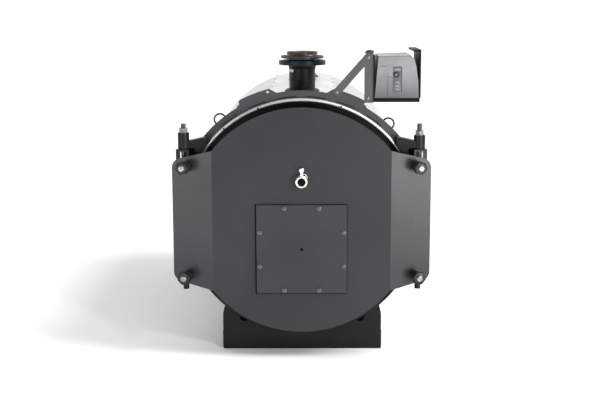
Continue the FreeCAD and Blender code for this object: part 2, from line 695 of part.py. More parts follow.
def nozzle(name, y, top):
    """A pipe with a weld-neck flange, turned as one profile, then drilled."""
    body = doc.addObject("PartDesign::Body", name + "_turned")
    sketch = new_sketch(body, "XZ_Plane", name + "_profile")
    flange_foot = "%s - nozzle_face_height - nozzle_flange_thickness" % top
    hub_foot = flange_foot + " - nozzle_hub_height"
    draw_outline(sketch, (
        ("nozzle_radius - nozzle_wall", "axis_height + shell_radius - shell_wall * 2"),
        ("nozzle_radius", "axis_height + shell_radius - shell_wall * 2"),
        ("nozzle_radius", hub_foot),
        ("nozzle_hub_radius", flange_foot),
        ("nozzle_flange_radius", flange_foot),
        ("nozzle_flange_radius", "%s - nozzle_face_height" % top),
        ("nozzle_face_radius", "%s - nozzle_face_height" % top),
        ("nozzle_face_radius", top),
        ("nozzle_radius - nozzle_wall", top),
    ))
    turn = body.newObject("PartDesign::Revolution", name + "_turn")
    turn.Profile = sketch
    turn.ReferenceAxis = (sketch, ["V_Axis"])
    turn.Angle = 360
    doc.recompute()
    drilling = new_sketch(body, "XY_Plane", name + "_bolt_hole")
    draw_circle(drilling, "nozzle_bolt_ring * cos(180 / nozzle_bolt_count)",
                "nozzle_bolt_ring * sin(180 / nozzle_bolt_count)", "nozzle_bolt_hole")
    hole = body.newObject("PartDesign::Pocket", name + "_bolt_cut")
    hole.Profile = drilling
    hole.Reversed = True
    bind(hole, Length=top)
    doc.recompute()
    if turn.Shape.Volume - hole.Shape.Volume < 1:
        raise RuntimeError(name + " bolt hole cuts nothing")
    polar(body, hole, drilling, name + "_bolt_holes", "360", "nozzle_bolt_count")
    place(body, y=y)
    seat = rod(name + "_seat", "y", "shell_radius + weld_gap", "shell_length",
               0, SHELL_FRONT, "axis_height")
    return node(name, cut(name, body, seat))


nozzle("flow_nozzle", "flow_place", "flow_top")
nozzle("return_nozzle", "return_place", "return_top")
node("flow_seal", rod("flow_seal", "z", "seal_radius", "seal_height",
                      0, "flow_place", "flow_top"))
node("flow_blank", rod("flow_blank", "z", "blank_radius", "blank_height",
                       0, "flow_place", "flow_top + seal_height"))
node("flow_cap", rod("flow_cap", "z", "cap_radius", "cap_height",
                     0, "flow_place", "flow_top + seal_height + blank_height"))


# ---- lifting rings -----------------------------------------------------------
# Bent rod rings that stand on the cladding just behind the collar.

def lifting_ring(name, angle):
    ring = doc.addObject("Part::Torus", name)
    ring.Placement.Rotation = ALONG["y"]
    bind(ring, Radius1="lifting_ring_radius", Radius2="lifting_ring_rod")
    x, z = turned("cladding_radius + lifting_ring_radius + lifting_ring_rod + weld_gap", angle)
    return place(ring, x, FLANGE_FRONT + " + 2 * lifting_ring_rod", z)


node("lifting_rings", fuse("lifting_rings",
                           lifting_ring("lifting_ring_left", "-lifting_left_angle"),
                           lifting_ring("lifting_ring_right", "lifting_right_angle")))


# ---- door --------------------------------------------------------------------
# A round plate whose two wings fold back, with a lining and a rope gasket.

DOOR_FRONT = SADDLE_FRONT + " - door_reach"
DOOR_BACK = DOOR_FRONT + " + door_thickness"
LINING_BACK = DOOR_BACK + " + lining_depth"
BURNER_AXIS = "axis_height - burner_drop"
SIGHT_AXIS = "axis_height + sight_height"
WING_LENGTH = "(wing_reach - door_fold) / cos(wing_fold_angle)"
CLAMP_ALONG = "(clamp_offset - door_fold) / cos(wing_fold_angle)"


def on_wing(thing):
    """Turn a thing built about the fold line back with the right wing."""
    thing.Placement.Rotation = FreeCAD.Rotation(FreeCAD.Vector(0, 0, 1), 1)
    thing.setExpression("Placement.Rotation.Angle", cells("wing_fold_angle"))
    return place(thing, "door_fold", DOOR_FRONT, "axis_height")


wing = doc.addObject("PartDesign::Body", "wing")
wing_outline = new_sketch(wing, "XZ_Plane", "wing_outline")
draw_outline(wing_outline, (
    (0, "-sqrt(door_radius ^ 2 - door_fold ^ 2)"), (WING_LENGTH, "-wing_end_half"),
    (WING_LENGTH, "wing_end_half"), (0, "sqrt(door_radius ^ 2 - door_fold ^ 2)"),
))
wing_pad = pad(wing, wing_outline, "wing_pad", "door_thickness")
doc.recompute()
corner_edges = [
    "Edge%d" % index for index, edge in enumerate(wing_pad.Shape.Edges, start=1)
    if edge.BoundBox.YLength > 1 and edge.BoundBox.XMin > number(WING_LENGTH) / 2
]
rounding = wing.newObject("PartDesign::Fillet", "wing_rounding")
rounding.Base = (wing_pad, corner_edges)
bind(rounding, Radius="wing_corner")
on_wing(wing)
wing_left = mirror("wing_left", wing)
ahead_of_wing = doc.addObject("Part::Compound", "ahead_of_wing")
ahead_of_wing.Links = [box("wing_room", 0, "-lining_depth", "-lining_radius",
                           "wing_reach", "lining_depth + door_thickness",
                           "2 * lining_radius")]
on_wing(ahead_of_wing)


def clamp_piece(name, kind, radius, start, length, level):
    """A round or six-sided stretch of a clamp bolt, about the fold line."""
    shape = rod if kind == "round" else hexagon
    return shape(name, "y", radius, length, CLAMP_ALONG, start, level)


clamp_holes = on_wing(fuse("clamp_holes", *[
    clamp_piece("clamp_hole_" + word, "round", "clamp_neck + bolt_hole_gap",
                "-door_thickness", "3 * door_thickness", level)
    for word, level in (("top", "clamp_height"), ("low", "-clamp_height"))
]))
door_disc = common(
    "door_disc",
    rod("door_round", "y", "door_radius", "door_thickness", 0, DOOR_FRONT, "axis_height"),
    box("door_width", "-door_fold", DOOR_FRONT, "axis_height - door_radius",
        "2 * door_fold", "door_thickness", "2 * door_radius"))
burner_opening = rod("burner_opening", "y", "burner_port_radius",
                     "door_thickness + lining_depth", 0, DOOR_FRONT, BURNER_AXIS)
sight_opening = rod("sight_opening", "y", "sight_bore",
                    "door_thickness + lining_depth", 0, DOOR_FRONT, SIGHT_AXIS)
door_plate = cut("door_plate", fuse("door_blank", door_disc, wing, wing_left),
                 burner_opening, sight_opening, clamp_holes,
                 mirror("clamp_holes_left", clamp_holes))
node("door_plate", door_plate)

node("door_lining", cut(
    "door_lining",
    rod("lining_disc", "y", "lining_radius", "lining_depth", 0, DOOR_BACK, "axis_height"),
    burner_opening, sight_opening, ahead_of_wing,
    mirror("ahead_of_wing_left", ahead_of_wing)))
node("door_gasket", pipe("door_gasket", "y", "lining_radius",
                         "lining_radius - gasket_width",
                         "(%s) - door_clearance - (%s)" % (FLANGE_FRONT, LINING_BACK),
                         0, LINING_BACK, "axis_height"))


# ---- burner plate ------------------------------------------------------------

PLATE_OUT = DOOR_FRONT + " - burner_plate_thickness"
HALF_PLATE = "burner_plate_side / 2"
BURNER_BOLTS = 8
bolt_places = []
for index in range(BURNER_BOLTS):
    angle = "%g" % (180 / BURNER_BOLTS * (2 * index + 1))
    bolt_places.append(("burner_bolt_ring * sin(%s)" % angle,
                        "%s + burner_bolt_ring * cos(%s)" % (BURNER_AXIS, angle)))

node("burner_plate", plate("burner_plate", (
    ("-" + HALF_PLATE, BURNER_AXIS + " - " + HALF_PLATE),
    (HALF_PLATE, BURNER_AXIS + " - " + HALF_PLATE),
    (HALF_PLATE, BURNER_AXIS + " + " + HALF_PLATE),
    ("-" + HALF_PLATE, BURNER_AXIS + " + " + HALF_PLATE),
), "burner_plate_thickness", PLATE_OUT, holes=[
    (x, z, "burner_bolt_radius + bolt_hole_gap") for x, z in bolt_places
] + [(0, BURNER_AXIS, "burner_plate_hole")]))

bolt_parts = []
for index, (x, z) in enumerate(bolt_places):
    bolt_parts += [
        rod("burner_shank_%d" % index, "y", "burner_bolt_radius", "burner_plate_thickness",
            x, PLATE_OUT, z),
        rod("burner_washer_%d" % index, "y", "burner_washer_radius", "burner_washer_height",
            x, PLATE_OUT + " - burner_washer_height", z),
        hexagon("burner_head_%d" % index, "y", "burner_bolt_head", "burner_bolt_head_height",
                x, PLATE_OUT + " - burner_washer_height - burner_bolt_head_height", z),
    ]
node("burner_bolts", fuse("burner_bolts", *bolt_parts))


# ---- sight glass -------------------------------------------------------------

node("sight_ring", pipe("sight_ring", "y", "sight_radius", "sight_bore", "sight_reach",
                        0, DOOR_FRONT + " - sight_reach", SIGHT_AXIS))
node("sight_lens", rod("sight_lens", "y", "sight_bore - weld_gap", "sight_lens_thickness",
                       0, DOOR_FRONT + " - sight_reach + sight_lens_thickness", SIGHT_AXIS))
STEM_FOOT = SIGHT_AXIS + " + sight_radius"
stem_y = DOOR_FRONT + " - sight_reach / 2"
valve = fuse(
    "sight_valve_whole",
    rod("sight_stem", "z", "sight_valve_radius", "sight_valve_height + sight_valve_radius",
        0, stem_y, STEM_FOOT + " - sight_valve_radius"),
    rod("sight_cap", "z", "sight_cap_radius", "sight_cap_height",
        0, stem_y, STEM_FOOT + " + sight_valve_height"))
node("sight_valve", cut("sight_valve", valve, rod(
    "sight_valve_seat", "y", "sight_radius + weld_gap", "sight_reach",
    0, DOOR_FRONT + " - sight_reach", SIGHT_AXIS)))


# ---- clamp bolts and clamp blocks --------------------------------------------

def clamp_bolt(name, level):
    """Neck through the wing, then washer, distance sleeve, nut and stud end."""
    return on_wing(fuse(
        name,
        clamp_piece(name + "_neck", "round", "clamp_neck", "-clamp_washer_height",
                    "clamp_washer_height + door_thickness + clamp_tail", level),
        clamp_piece(name + "_washer", "round", "clamp_washer_radius",
                    "-clamp_washer_height", "clamp_washer_height", level),
        clamp_piece(name + "_sleeve", "round", "clamp_sleeve_radius", "-clamp_nut_seat",
                    "clamp_nut_seat - clamp_washer_height", level),
        clamp_piece(name + "_nut", "six-sided", "clamp_nut_corner",
                    "-clamp_nut_seat - clamp_nut_height", "clamp_nut_height", level),
        clamp_piece(name + "_stud", "round", "clamp_stud_radius", "-clamp_stud_end",
                    "clamp_stud_end - clamp_washer_height", level)))


clamp_pair = fuse("clamp_bolts_right", clamp_bolt("clamp_bolt_top", "clamp_height"),
                  clamp_bolt("clamp_bolt_low", "-clamp_height"))
node("clamp_bolts", fuse("clamp_bolts", clamp_pair, mirror("clamp_bolts_left", clamp_pair)))

ring_clearance = rod("ring_clearance", "y", "seat_ring_radius + weld_gap",
                     "seat_ring_depth + flange_thickness + arm_depth", 0,
                     FLANGE_FRONT + " - seat_ring_depth - arm_depth / 2", "axis_height")


def clamp_block(name, level):
    return box(name, "clamp_block_inner", FLANGE_FRONT + " - clamp_block_reach",
               "axis_height + %s - clamp_block_half" % level,
               "clamp_block_outer - clamp_block_inner",
               "clamp_block_reach", "2 * clamp_block_half")


blocks = cut("clamp_blocks_right", fuse("clamp_blocks_raw",
                                        clamp_block("clamp_block_top", "clamp_height"),
                                        clamp_block("clamp_block_low", "-clamp_height")),
             ring_clearance)
node("clamp_blocks", fuse("clamp_blocks", blocks, mirror("clamp_blocks_left", blocks)))


# ---- hinges ------------------------------------------------------------------
# The door hangs on a threaded spindle at its upper corner and turns on a pin at
# its lower one.  It swings on the left pair.  The right pair is the same, but
# its lugs are forks, open at the back, so that the door leaves its pins.

HINGE_LINE = DOOR_FRONT + " + hinge_setback"
SLEEVE_FOOT = "axis_height + sleeve_foot"
LUG_FOOT_TOP = SLEEVE_FOOT + " - lug_play - lug_thickness"
PIVOT_FOOT = "axis_height - pivot_foot"
LUG_FOOT_LOW = PIVOT_FOOT + " - lug_play - lug_thickness"


def hinge_arm(name, sleeve_height):
    """A block from the collar out to the sleeve that holds the spindle."""
    block = plate(name + "_block", (
        ("arm_root", "axis_height + arm_root_top"),
        ("arm_tip", "axis_height + arm_tip_top"),
        ("arm_tip", SLEEVE_FOOT + " + arm_rise"),
        ("arm_heel", SLEEVE_FOOT + " + arm_rise"),
        ("arm_tail", "axis_height + arm_tail_foot"),
        ("arm_root", "axis_height + arm_root_foot"),
    ), "arm_depth", COLLAR_FRONT + " - arm_depth")
    sleeve = rod(name + "_sleeve", "z", "sleeve_radius", sleeve_height,
                 "hinge_offset", HINGE_LINE, SLEEVE_FOOT)
    bore = rod(name + "_bore", "z", "spindle_radius + pin_play", sleeve_height,
               "hinge_offset", HINGE_LINE, SLEEVE_FOOT)
    return cut(name, fuse(name + "_solid", block, sleeve), bore, ring_clearance)


def spindle(name, sleeve_height):
    """The threaded rod that hangs from its nut on the sleeve."""
    sleeve_top = "%s + %s" % (SLEEVE_FOOT, sleeve_height)
    rod_foot = LUG_FOOT_TOP + " - spindle_tail"
    return fuse(
        name,
        rod(name + "_rod", "z", "spindle_radius", "spindle_top - (%s)" % rod_foot,
            "hinge_offset", HINGE_LINE, rod_foot),
        rod(name + "_washer", "z", "spindle_washer_radius", "spindle_washer_height",
            "hinge_offset", HINGE_LINE, sleeve_top),
        hexagon(name + "_nut", "z", "spindle_nut_corner", "spindle_nut_height",
                "hinge_offset", HINGE_LINE, sleeve_top + " + spindle_washer_height"))


def pivot(name):
    """The lower hinge block on the seat ring, with its pin through it."""
    height = "pivot_foot - pivot_top"
    root = box(name + "_root", "hinge_offset - 2 * pivot_half", HINGE_LINE, PIVOT_FOOT,
               "3 * pivot_half", "(%s) - (%s)" % (COLLAR_FRONT, HINGE_LINE), height)
    eye = rod(name + "_eye", "z", "pivot_radius", height,
              "hinge_offset", HINGE_LINE, PIVOT_FOOT)
    pin = rod(name + "_pin", "z", "pin_radius", "pin_foot - pivot_top",
              "hinge_offset", HINGE_LINE, "axis_height - pin_foot")
    return cut(name, fuse(name + "_solid", root, eye, pin), ring_clearance)


def lug(name, foot, pin, forked):
    """A lug plate with a round eye for its pin, and a web against the wing's back."""
    wing_back = HINGE_LINE + " - hinge_setback + door_thickness"
    plate_box = box(name + "_plate", "lug_inner", wing_back, foot, "lug_outer - lug_inner",
                    "hinge_setback - door_thickness", "lug_thickness")
    eye = rod(name + "_eye", "z", "lug_eye", "lug_thickness", "hinge_offset", HINGE_LINE, foot)
    web = box(name + "_web", "lug_outer - lug_web", wing_back,
              foot + " + lug_thickness - lug_web_height", "lug_web",
              "hinge_setback - door_thickness - spindle_radius", "lug_web_height")
    hole = rod(name + "_hole", "z", pin + " + pin_play", "lug_thickness",
               "hinge_offset", HINGE_LINE, foot)
    tools = [hole]
    if forked:
        tools.append(box(name + "_mouth", "hinge_offset - %s - lug_play" % pin, HINGE_LINE,
                         foot, "2 * (%s + lug_play)" % pin, "lug_eye", "lug_thickness"))
    return cut(name, fuse(name + "_solid", plate_box, eye, web), ahead_of_wing, *tools)


def lug_pair(name, forked):
    cheek = cut(name + "_cheek", box(
        name + "_cheek_block", "lug_inner", HINGE_LINE + " - hinge_setback + door_thickness",
        LUG_FOOT_TOP + " + lug_thickness - lug_cheek_height", "lug_cheek",
        "hinge_setback - door_thickness - spindle_radius", "lug_cheek_height"), ahead_of_wing)
    return fuse(name, cheek,
                lug(name + "_top", LUG_FOOT_TOP, "spindle_radius", forked),
                lug(name + "_low", LUG_FOOT_LOW, "pin_radius", forked))


arm_left = hinge_arm("arm_for_left", "sleeve_height_left")
node("hinge_arm_left", mirror("hinge_arm_left", arm_left))
node("hinge_arm_right", hinge_arm("hinge_arm_right", "sleeve_height_right"))
spindle_left = spindle("spindle_for_left", "sleeve_height_left")
node("hinge_spindles", fuse("hinge_spindles", mirror("spindle_left", spindle_left),
                            spindle("spindle_right", "sleeve_height_right")))
pivot_right = pivot("pivot_right")
node("lower_pivots", fuse("lower_pivots", pivot_right, mirror("pivot_left", pivot_right)))
node("door_lugs_left", mirror("door_lugs_left", lug_pair("lugs_for_left", False)))
node("door_lugs_right", lug_pair("door_lugs_right", True))


# ---- control unit and its bracket --------------------------------------------

BRACKET_FRONT = COLLAR_FRONT + " - bracket_sheet"
CONTROL_FRONT = "-control_front"
CASE_FOOT = "control_foot + control_tray_height"
PLATE_RIGHT = "post_right + side_plate"

bracket_sheet = plate("bracket_face", (
    ("bracket_foot_x - 24", "bracket_foot_z + 1"),
    ("bracket_foot_x + 4", "bracket_foot_z - 24"),
    ("post_left", "post_top - 82"),
    ("post_left", "post_foot"), ("post_right", "post_foot"),
    ("post_right", "post_top"), ("post_left + 22", "post_top"),
), "bracket_sheet", BRACKET_FRONT, holes=(
    ("bracket_foot_x", "bracket_foot_z", "bracket_hole_radius"),
    ("post_hole_x", "post_hole_low", "bracket_hole_radius"),
    ("post_hole_x", "post_hole_high", "bracket_hole_radius"),
))
node("control_bracket", fuse("control_bracket", bracket_sheet, box(
    "bracket_return", "post_right - bracket_sheet", COLLAR_FRONT, "post_foot + post_return / 5",
    "bracket_sheet", "post_return", "post_top - post_foot - post_return")))

node("control_tray", box("control_tray", PLATE_RIGHT, CONTROL_FRONT, "control_foot",
                         "control_right + fascia_thickness / 2 - (%s)" % PLATE_RIGHT,
                         "control_depth", "control_tray_height"))
node("control_side_plate", box("control_side_plate", "post_right", CONTROL_FRONT,
                               "control_foot", "side_plate", "control_depth",
                               "control_top - control_foot"))
case_body = plate("control_case_block", (
    (PLATE_RIGHT, CASE_FOOT), ("control_right", CASE_FOOT),
    ("control_right - 4", "control_top - 126"), ("control_right - 14", "control_top - 57"),
    ("control_right - 25", "control_top - 18"), ("control_right - 42", "control_top"),
    (PLATE_RIGHT + " + 18", "control_top - 6"),
), "control_depth", CONTROL_FRONT)
node("control_case", cut("control_case", case_body, box(
    "strip_pocket", "strip_left", CONTROL_FRONT, "strip_foot", "strip_width", "strip_recess",
    "strip_height")))
STRIP_FRONT = CONTROL_FRONT + " + strip_recess - strip_plate"
node("control_strip", fuse(
    "control_strip",
    box("strip_face", "strip_left + strip_plate", STRIP_FRONT, "strip_foot + strip_plate",
        "strip_width - 2 * strip_plate", "strip_plate", "strip_height - 2 * strip_plate"),
    rod("strip_knob", "y", "knob_radius", "knob_height", "strip_left + 18",
        STRIP_FRONT + " - knob_height", "strip_foot + strip_height - 42")))
node("control_fascia", fuse(
    "control_fascia",
    box("fascia_panel", "control_right + weld_gap", CONTROL_FRONT, CASE_FOOT,
        "fascia_thickness", "control_depth", "fascia_top - (%s)" % CASE_FOOT),
    box("fascia_lip", "control_right + weld_gap - fascia_hook", CONTROL_FRONT,
        "fascia_top - fascia_thickness", "fascia_hook", "control_depth", "fascia_thickness")))


# ---- check and write ---------------------------------------------------------

doc.recompute()
for thing in doc.Objects:
    faults = [state for state in thing.State if state in ("Invalid", "Error")]
    if faults:
        raise RuntimeError("%s is %s" % (thing.Label, faults))
for piece in nodes:
    if piece.Shape.isNull() or not piece.Shape.isValid() or not piece.Shape.Solids:
        raise RuntimeError(piece.Label + " has no valid solid")

os.makedirs("parts", exist_ok=True)
for piece in nodes:
    piece.Shape.exportStep("parts/%s.step" % piece.Label)
    print("%-20s %2d solid(s) %9.0f cm3" % (
        piece.Label, len(piece.Shape.Solids), piece.Shape.Volume / 1000))
print(len(nodes), "nodes")
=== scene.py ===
import bmesh
import bpy
import math
import random
from mathutils import Matrix, Vector


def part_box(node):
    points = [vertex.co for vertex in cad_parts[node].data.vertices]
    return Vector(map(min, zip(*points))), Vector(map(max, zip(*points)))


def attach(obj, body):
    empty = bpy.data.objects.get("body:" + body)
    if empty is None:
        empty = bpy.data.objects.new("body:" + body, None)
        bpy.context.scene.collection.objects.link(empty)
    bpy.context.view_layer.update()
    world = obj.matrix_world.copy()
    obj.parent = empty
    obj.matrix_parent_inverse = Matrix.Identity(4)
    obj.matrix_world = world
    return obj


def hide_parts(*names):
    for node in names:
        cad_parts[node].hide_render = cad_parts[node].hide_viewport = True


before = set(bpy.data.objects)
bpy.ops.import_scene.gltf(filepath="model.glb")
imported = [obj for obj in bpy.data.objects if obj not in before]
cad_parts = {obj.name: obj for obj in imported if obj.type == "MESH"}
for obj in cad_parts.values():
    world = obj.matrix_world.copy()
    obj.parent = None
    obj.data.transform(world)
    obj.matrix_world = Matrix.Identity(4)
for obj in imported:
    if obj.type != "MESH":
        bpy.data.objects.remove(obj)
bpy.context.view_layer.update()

# ---- Base ----
# Two flame-cut saddle plates and two channel rails, sprayed satin black and a
# little dusty where they face up.  Their cut edges are lightly rounded.


def linear(code):
    """A hex sRGB colour as the linear RGBA that shaders work in."""
    parts = [int(code[index:index + 2], 16) / 255 for index in (1, 3, 5)]
    return [c / 12.92 if c <= 0.04045 else ((c + 0.055) / 1.055) ** 2.4 for c in parts] + [1]


def add(tree, kind, links=None, **settings):
    """Adds a shader node: settings are its properties, links its input values or sockets."""
    made = tree.nodes.new("ShaderNode" + kind)
    for name, value in settings.items():
        setattr(made, name, value)
    for name, value in (links or {}).items():
        if isinstance(value, bpy.types.NodeSocket):
            tree.links.new(value, made.inputs[name])
        else:
            made.inputs[name].default_value = value
    return made


def noise(tree, where, size_mm, detail):
    """Soft noise whose blotches are about a size across."""
    return add(tree, "TexNoise", {"Vector": where, "Scale": 1000 / size_mm, "Detail": detail,
                                  "Roughness": 0.55}).outputs["Fac"]


def ramp(tree, value, low, high, out_low, out_high):
    """Maps a value's range low to high onto out_low to out_high, and holds it there."""
    return add(tree, "MapRange", {"Value": value, "From Min": low, "From Max": high,
                                  "To Min": out_low, "To Max": out_high}).outputs["Result"]


def blend(tree, amount, first, second):
    """Mixes two colours by an amount from 0 to 1."""
    mixer = add(tree, "Mix", data_type="RGBA")
    for socket, value in ((mixer.inputs[0], amount), (mixer.inputs[6], first),
                          (mixer.inputs[7], second)):
        if isinstance(value, bpy.types.NodeSocket):
            tree.links.new(value, socket)
        else:
            socket.default_value = value
    return mixer.outputs[2]


def finish(name, tone, deep, roughness, patch_mm, grain_mm, grain_depth_mm,
           metallic=0.0, spread=0.12, stretch=(1, 1, 1), specular=0.5):
    """A surface that wanders between two tones in patches, with a fine grain raised on it."""
    material = bpy.data.materials.new(name)
    material.use_nodes = True
    tree = material.node_tree
    shader = tree.nodes["Principled BSDF"]
    place = add(tree, "TexCoord").outputs["Object"]
    pulled = add(tree, "Mapping", {"Vector": place, "Scale": stretch}).outputs["Vector"]
    patches = noise(tree, place, patch_mm, detail=4)
    grain = noise(tree, pulled, grain_mm, detail=2)
    colour = blend(tree, ramp(tree, patches, 0.3, 0.7, 0, 1), linear(deep), linear(tone))
    tree.links.new(colour, shader.inputs["Base Color"])
    tree.links.new(ramp(tree, patches, 0.3, 0.7, roughness + spread / 2, roughness - spread / 2),
                   shader.inputs["Roughness"])
    bump = add(tree, "Bump", {"Height": grain, "Distance": grain_depth_mm / 1000,
                              "Strength": 1.0})
    tree.links.new(bump.outputs["Normal"], shader.inputs["Normal"])
    shader.inputs["Metallic"].default_value = metallic
    shader.inputs["Specular IOR Level"].default_value = specular
    return material, tree, shader, place, colour, bump


def recolour(tree, shader, colour):
    """Puts another colour on a surface."""
    tree.links.new(colour, shader.inputs["Base Color"])


def relief(tree, shader, bump, height, depth):
    """Raises a second relief, depth metres high, under a surface's grain."""
    second = add(tree, "Bump", {"Height": height, "Distance": depth, "Strength": 1.0,
                                "Normal": bump.outputs["Normal"]})
    tree.links.new(second.outputs["Normal"], shader.inputs["Normal"])


def part(tree, vector, axis):
    """One coordinate of a vector."""
    return add(tree, "SeparateXYZ", {"Vector": vector}).outputs[axis]


def dusty(tree, shader, colour, dust, amount):
    """Lays a thin dust over the faces that look up."""
    up = part(tree, add(tree, "NewGeometry").outputs["Normal"], "Z")
    cover = ramp(tree, up, 0.35, 1.0, 0, amount)
    recolour(tree, shader, blend(tree, cover, colour, linear(dust)))


def satin_black():
    """Satin black machinery paint: a 0.9 mm orange peel, and dust on top."""
    material, tree, shader, _, colour, _ = finish(
        "satin_black_paint", "#101111", "#0a0b0b", 0.42, patch_mm=260, grain_mm=0.9,
        grain_depth_mm=0.035, specular=0.2)
    dusty(tree, shader, colour, "#4b4843", 0.10)
    return material


def dress(node, material, edge_mm=0.0, segments=2):
    """Gives a CAD node its finish, smooth round faces and, where asked, rounded edges."""
    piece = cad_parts[node]
    piece.data.materials.clear()
    piece.data.materials.append(material)
    piece.data.shade_smooth()
    piece.data.set_sharp_from_angle(angle=math.radians(28))
    if edge_mm:
        rounding = piece.modifiers.new("rounded_edges", "BEVEL")
        rounding.width = edge_mm / 1000
        rounding.segments = segments
        rounding.limit_method = "ANGLE"
        rounding.angle_limit = math.radians(40)
        rounding.harden_normals = True


black_paint = satin_black()
for node in ("saddle_front", "saddle_rear", "rail_left", "rail_right"):
    dress(node, black_paint, 1.2)


# Fillet welds hold the saddles to the shell and the rails to the saddles.  Each
# is a rippled bead, laid along its seat and painted with the base.

AXIS_Z = sum(corner.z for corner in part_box("door_seat_ring")) / 2


def put(name, data):
    """Puts data into the scene as an object."""
    made = bpy.data.objects.new(name, data)
    bpy.context.scene.collection.objects.link(made)
    return made


def settle(name, shape, material, body, stands_for=()):
    """Makes a piece of a bmesh, parents it to its body's empty and hides the CAD nodes it stands
    for.
    """
    bmesh.ops.recalc_face_normals(shape, faces=shape.faces)
    mesh = bpy.data.meshes.new(name)
    shape.to_mesh(mesh)
    shape.free()
    mesh.materials.append(material)
    mesh.shade_smooth()
    mesh.set_sharp_from_angle(angle=math.radians(32))
    piece = put(name, mesh)
    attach(piece, body)
    if stands_for:
        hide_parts(*stands_for)


def loft(mesh, one, two, wrap=True):
    """Faces between two rows of corners, round the back as well if they wrap."""
    count = len(one)
    for k in range(count if wrap else count - 1):
        following = (k + 1) % count
        mesh.faces.new((one[k], two[k], two[following], one[following]))


def bead(mesh, points, size, ripple=10.0, closed=False, seed=1):
    """Sweeps a round bar along points; a weld bead swells once every ripple."""
    chance = random.Random(seed)
    sides = 8
    rings = []
    travelled = 0.0
    count = len(points)
    for index, point in enumerate(points):
        ahead = points[(index + 1) % count] if closed or index < count - 1 else point
        behind = points[index - 1] if closed or index else point
        along = (ahead - behind).normalized()
        across = along.orthogonal().normalized() if not rings else \
            (rings[-1][1] - along * rings[-1][1].dot(along)).normalized()
        other = along.cross(across)
        if index:
            travelled += (point - points[index - 1]).length
        swell = size * (1 + 0.16 * math.sin(math.tau * travelled / ripple)
                        + chance.uniform(-0.04, 0.04))
        if not closed and index in (0, count - 1):
            swell *= 0.35
        ring = [mesh.verts.new(point + (across * math.cos(turn) + other * math.sin(turn)) * swell)
                for turn in (math.tau * side / sides for side in range(sides))]
        rings.append((ring, across))
    for index in range(count if closed else count - 1):
        first, second = rings[index][0], rings[(index + 1) % count][0]
        shift = 0
        if closed and index == count - 1:
            shift = min(range(sides), key=lambda s: (first[0].co - second[s].co).length)
        loft(mesh, first, second[shift:] + second[:shift])
    if not closed:
        mesh.faces.new(rings[0][0])
        mesh.faces.new(reversed(rings[-1][0]))


def run(start, end, step):
    """Points from start to end, about a step apart."""
    start, end = Vector(start), Vector(end)
    count = max(2, round((end - start).length / step))
    return [start.lerp(end, index / count) for index in range(count + 1)]


def arc(centre, radius, begin, end, step, first=Vector((1, 0, 0)), second=Vector((0, 0, 1))):
    """Points round an arc in the plane of first and second, angles in degrees from second."""
    count = max(3, round(radius * math.radians(abs(end - begin)) / step))
    points = []
    for index in range(count + 1):
        angle = math.radians(begin + (end - begin) * index / count)
        points.append(Vector(centre) + radius * (first * math.sin(angle)
                                                 + second * math.cos(angle)))
    return points


SHELL_R = 0.530
RAIL_FLANGE = 0.058
weld = bmesh.new()
for seat_y in (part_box("saddle_front")[1].y + 0.001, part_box("saddle_rear")[0].y - 0.001,
               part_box("saddle_rear")[1].y + 0.001):
    bead(weld, arc((0, seat_y, AXIS_Z), SHELL_R + 0.003, 137, 223, 0.0022), 0.0036, 0.007)
for node, inward in (("rail_left", 1), ("rail_right", -1)):
    low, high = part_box(node)
    outer = low.x if inward > 0 else high.x
    for end_y in (low.y, high.y):
        for path in (run((outer, end_y, 0.006), (outer, end_y, high.z - 0.004), 0.002),
                     run((outer, end_y, high.z), (outer + inward * RAIL_FLANGE, end_y, high.z),
                         0.002)):
            bead(weld, path, 0.003, 0.006)
settle("base_welds", weld, black_paint, "boiler")


# ---- Pressure body ----
# Boiler plate as it left the mill, blue-grey with a brown bloom.  It shows when
# the door is open: the tube plate with its ring of tubes, and the furnace.


def mill_steel():
    """Hot-rolled plate: patches of brown bloom 90 mm across over blue-grey scale."""
    material, tree, shader, place, colour, _ = finish(
        "mill_scale_steel", "#5d5d5e", "#3c3a39", 0.5, patch_mm=90, grain_mm=1.6,
        grain_depth_mm=0.05, metallic=0.55)
    bloom = ramp(tree, noise(tree, place, 40, detail=6), 0.55, 0.75, 0, 0.5)
    recolour(tree, shader, blend(tree, bloom, colour, linear("#5c4334")))
    return material


def sooty_steel():
    """Furnace and smoke tubes after their first firing: matt, near black."""
    return finish("sooted_tube_steel", "#34322f", "#1d1b1a", 0.72, patch_mm=60, grain_mm=1.2,
                  grain_depth_mm=0.08, metallic=0.2)[0]


def middle(node):
    """The middle of a node's box."""
    low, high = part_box(node)
    return (low + high) / 2


def outward(angle):
    """The unit vector from the shell's axis, at an angle from straight up towards +X."""
    return Vector((math.sin(angle), 0, math.cos(angle)))


plate_steel = mill_steel()
tube_steel = sooty_steel()
for node, material in (("front_tube_plate", plate_steel), ("rear_tube_plate", plate_steel),
                       ("pressure_shell", black_paint), ("smoke_tubes", tube_steel),
                       ("furnace_tube", tube_steel)):
    dress(node, material)

plate_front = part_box("front_tube_plate")[0].y
FURNACE_R = 0.225
SMOKE_TUBE_R = 0.029
tube_weld = bmesh.new()
bead(tube_weld, arc((0, plate_front, middle("furnace_tube").z), FURNACE_R + 0.005, 0, 357,
                    0.0025), 0.0045, 0.009)
for row_radius, sweep, count in ((0.430, 200, 11), (0.330, 120, 7)):
    for index in range(count):
        angle = math.radians(-sweep / 2 + sweep / (count - 1) * index)
        centre = Vector((0, plate_front, AXIS_Z)) + outward(angle) * row_radius
        bead(tube_weld, arc(centre, SMOKE_TUBE_R, 0, 350, 0.0018), 0.0028, 0.006, seed=index)
settle("tube_end_welds", tube_weld, plate_steel, "boiler")
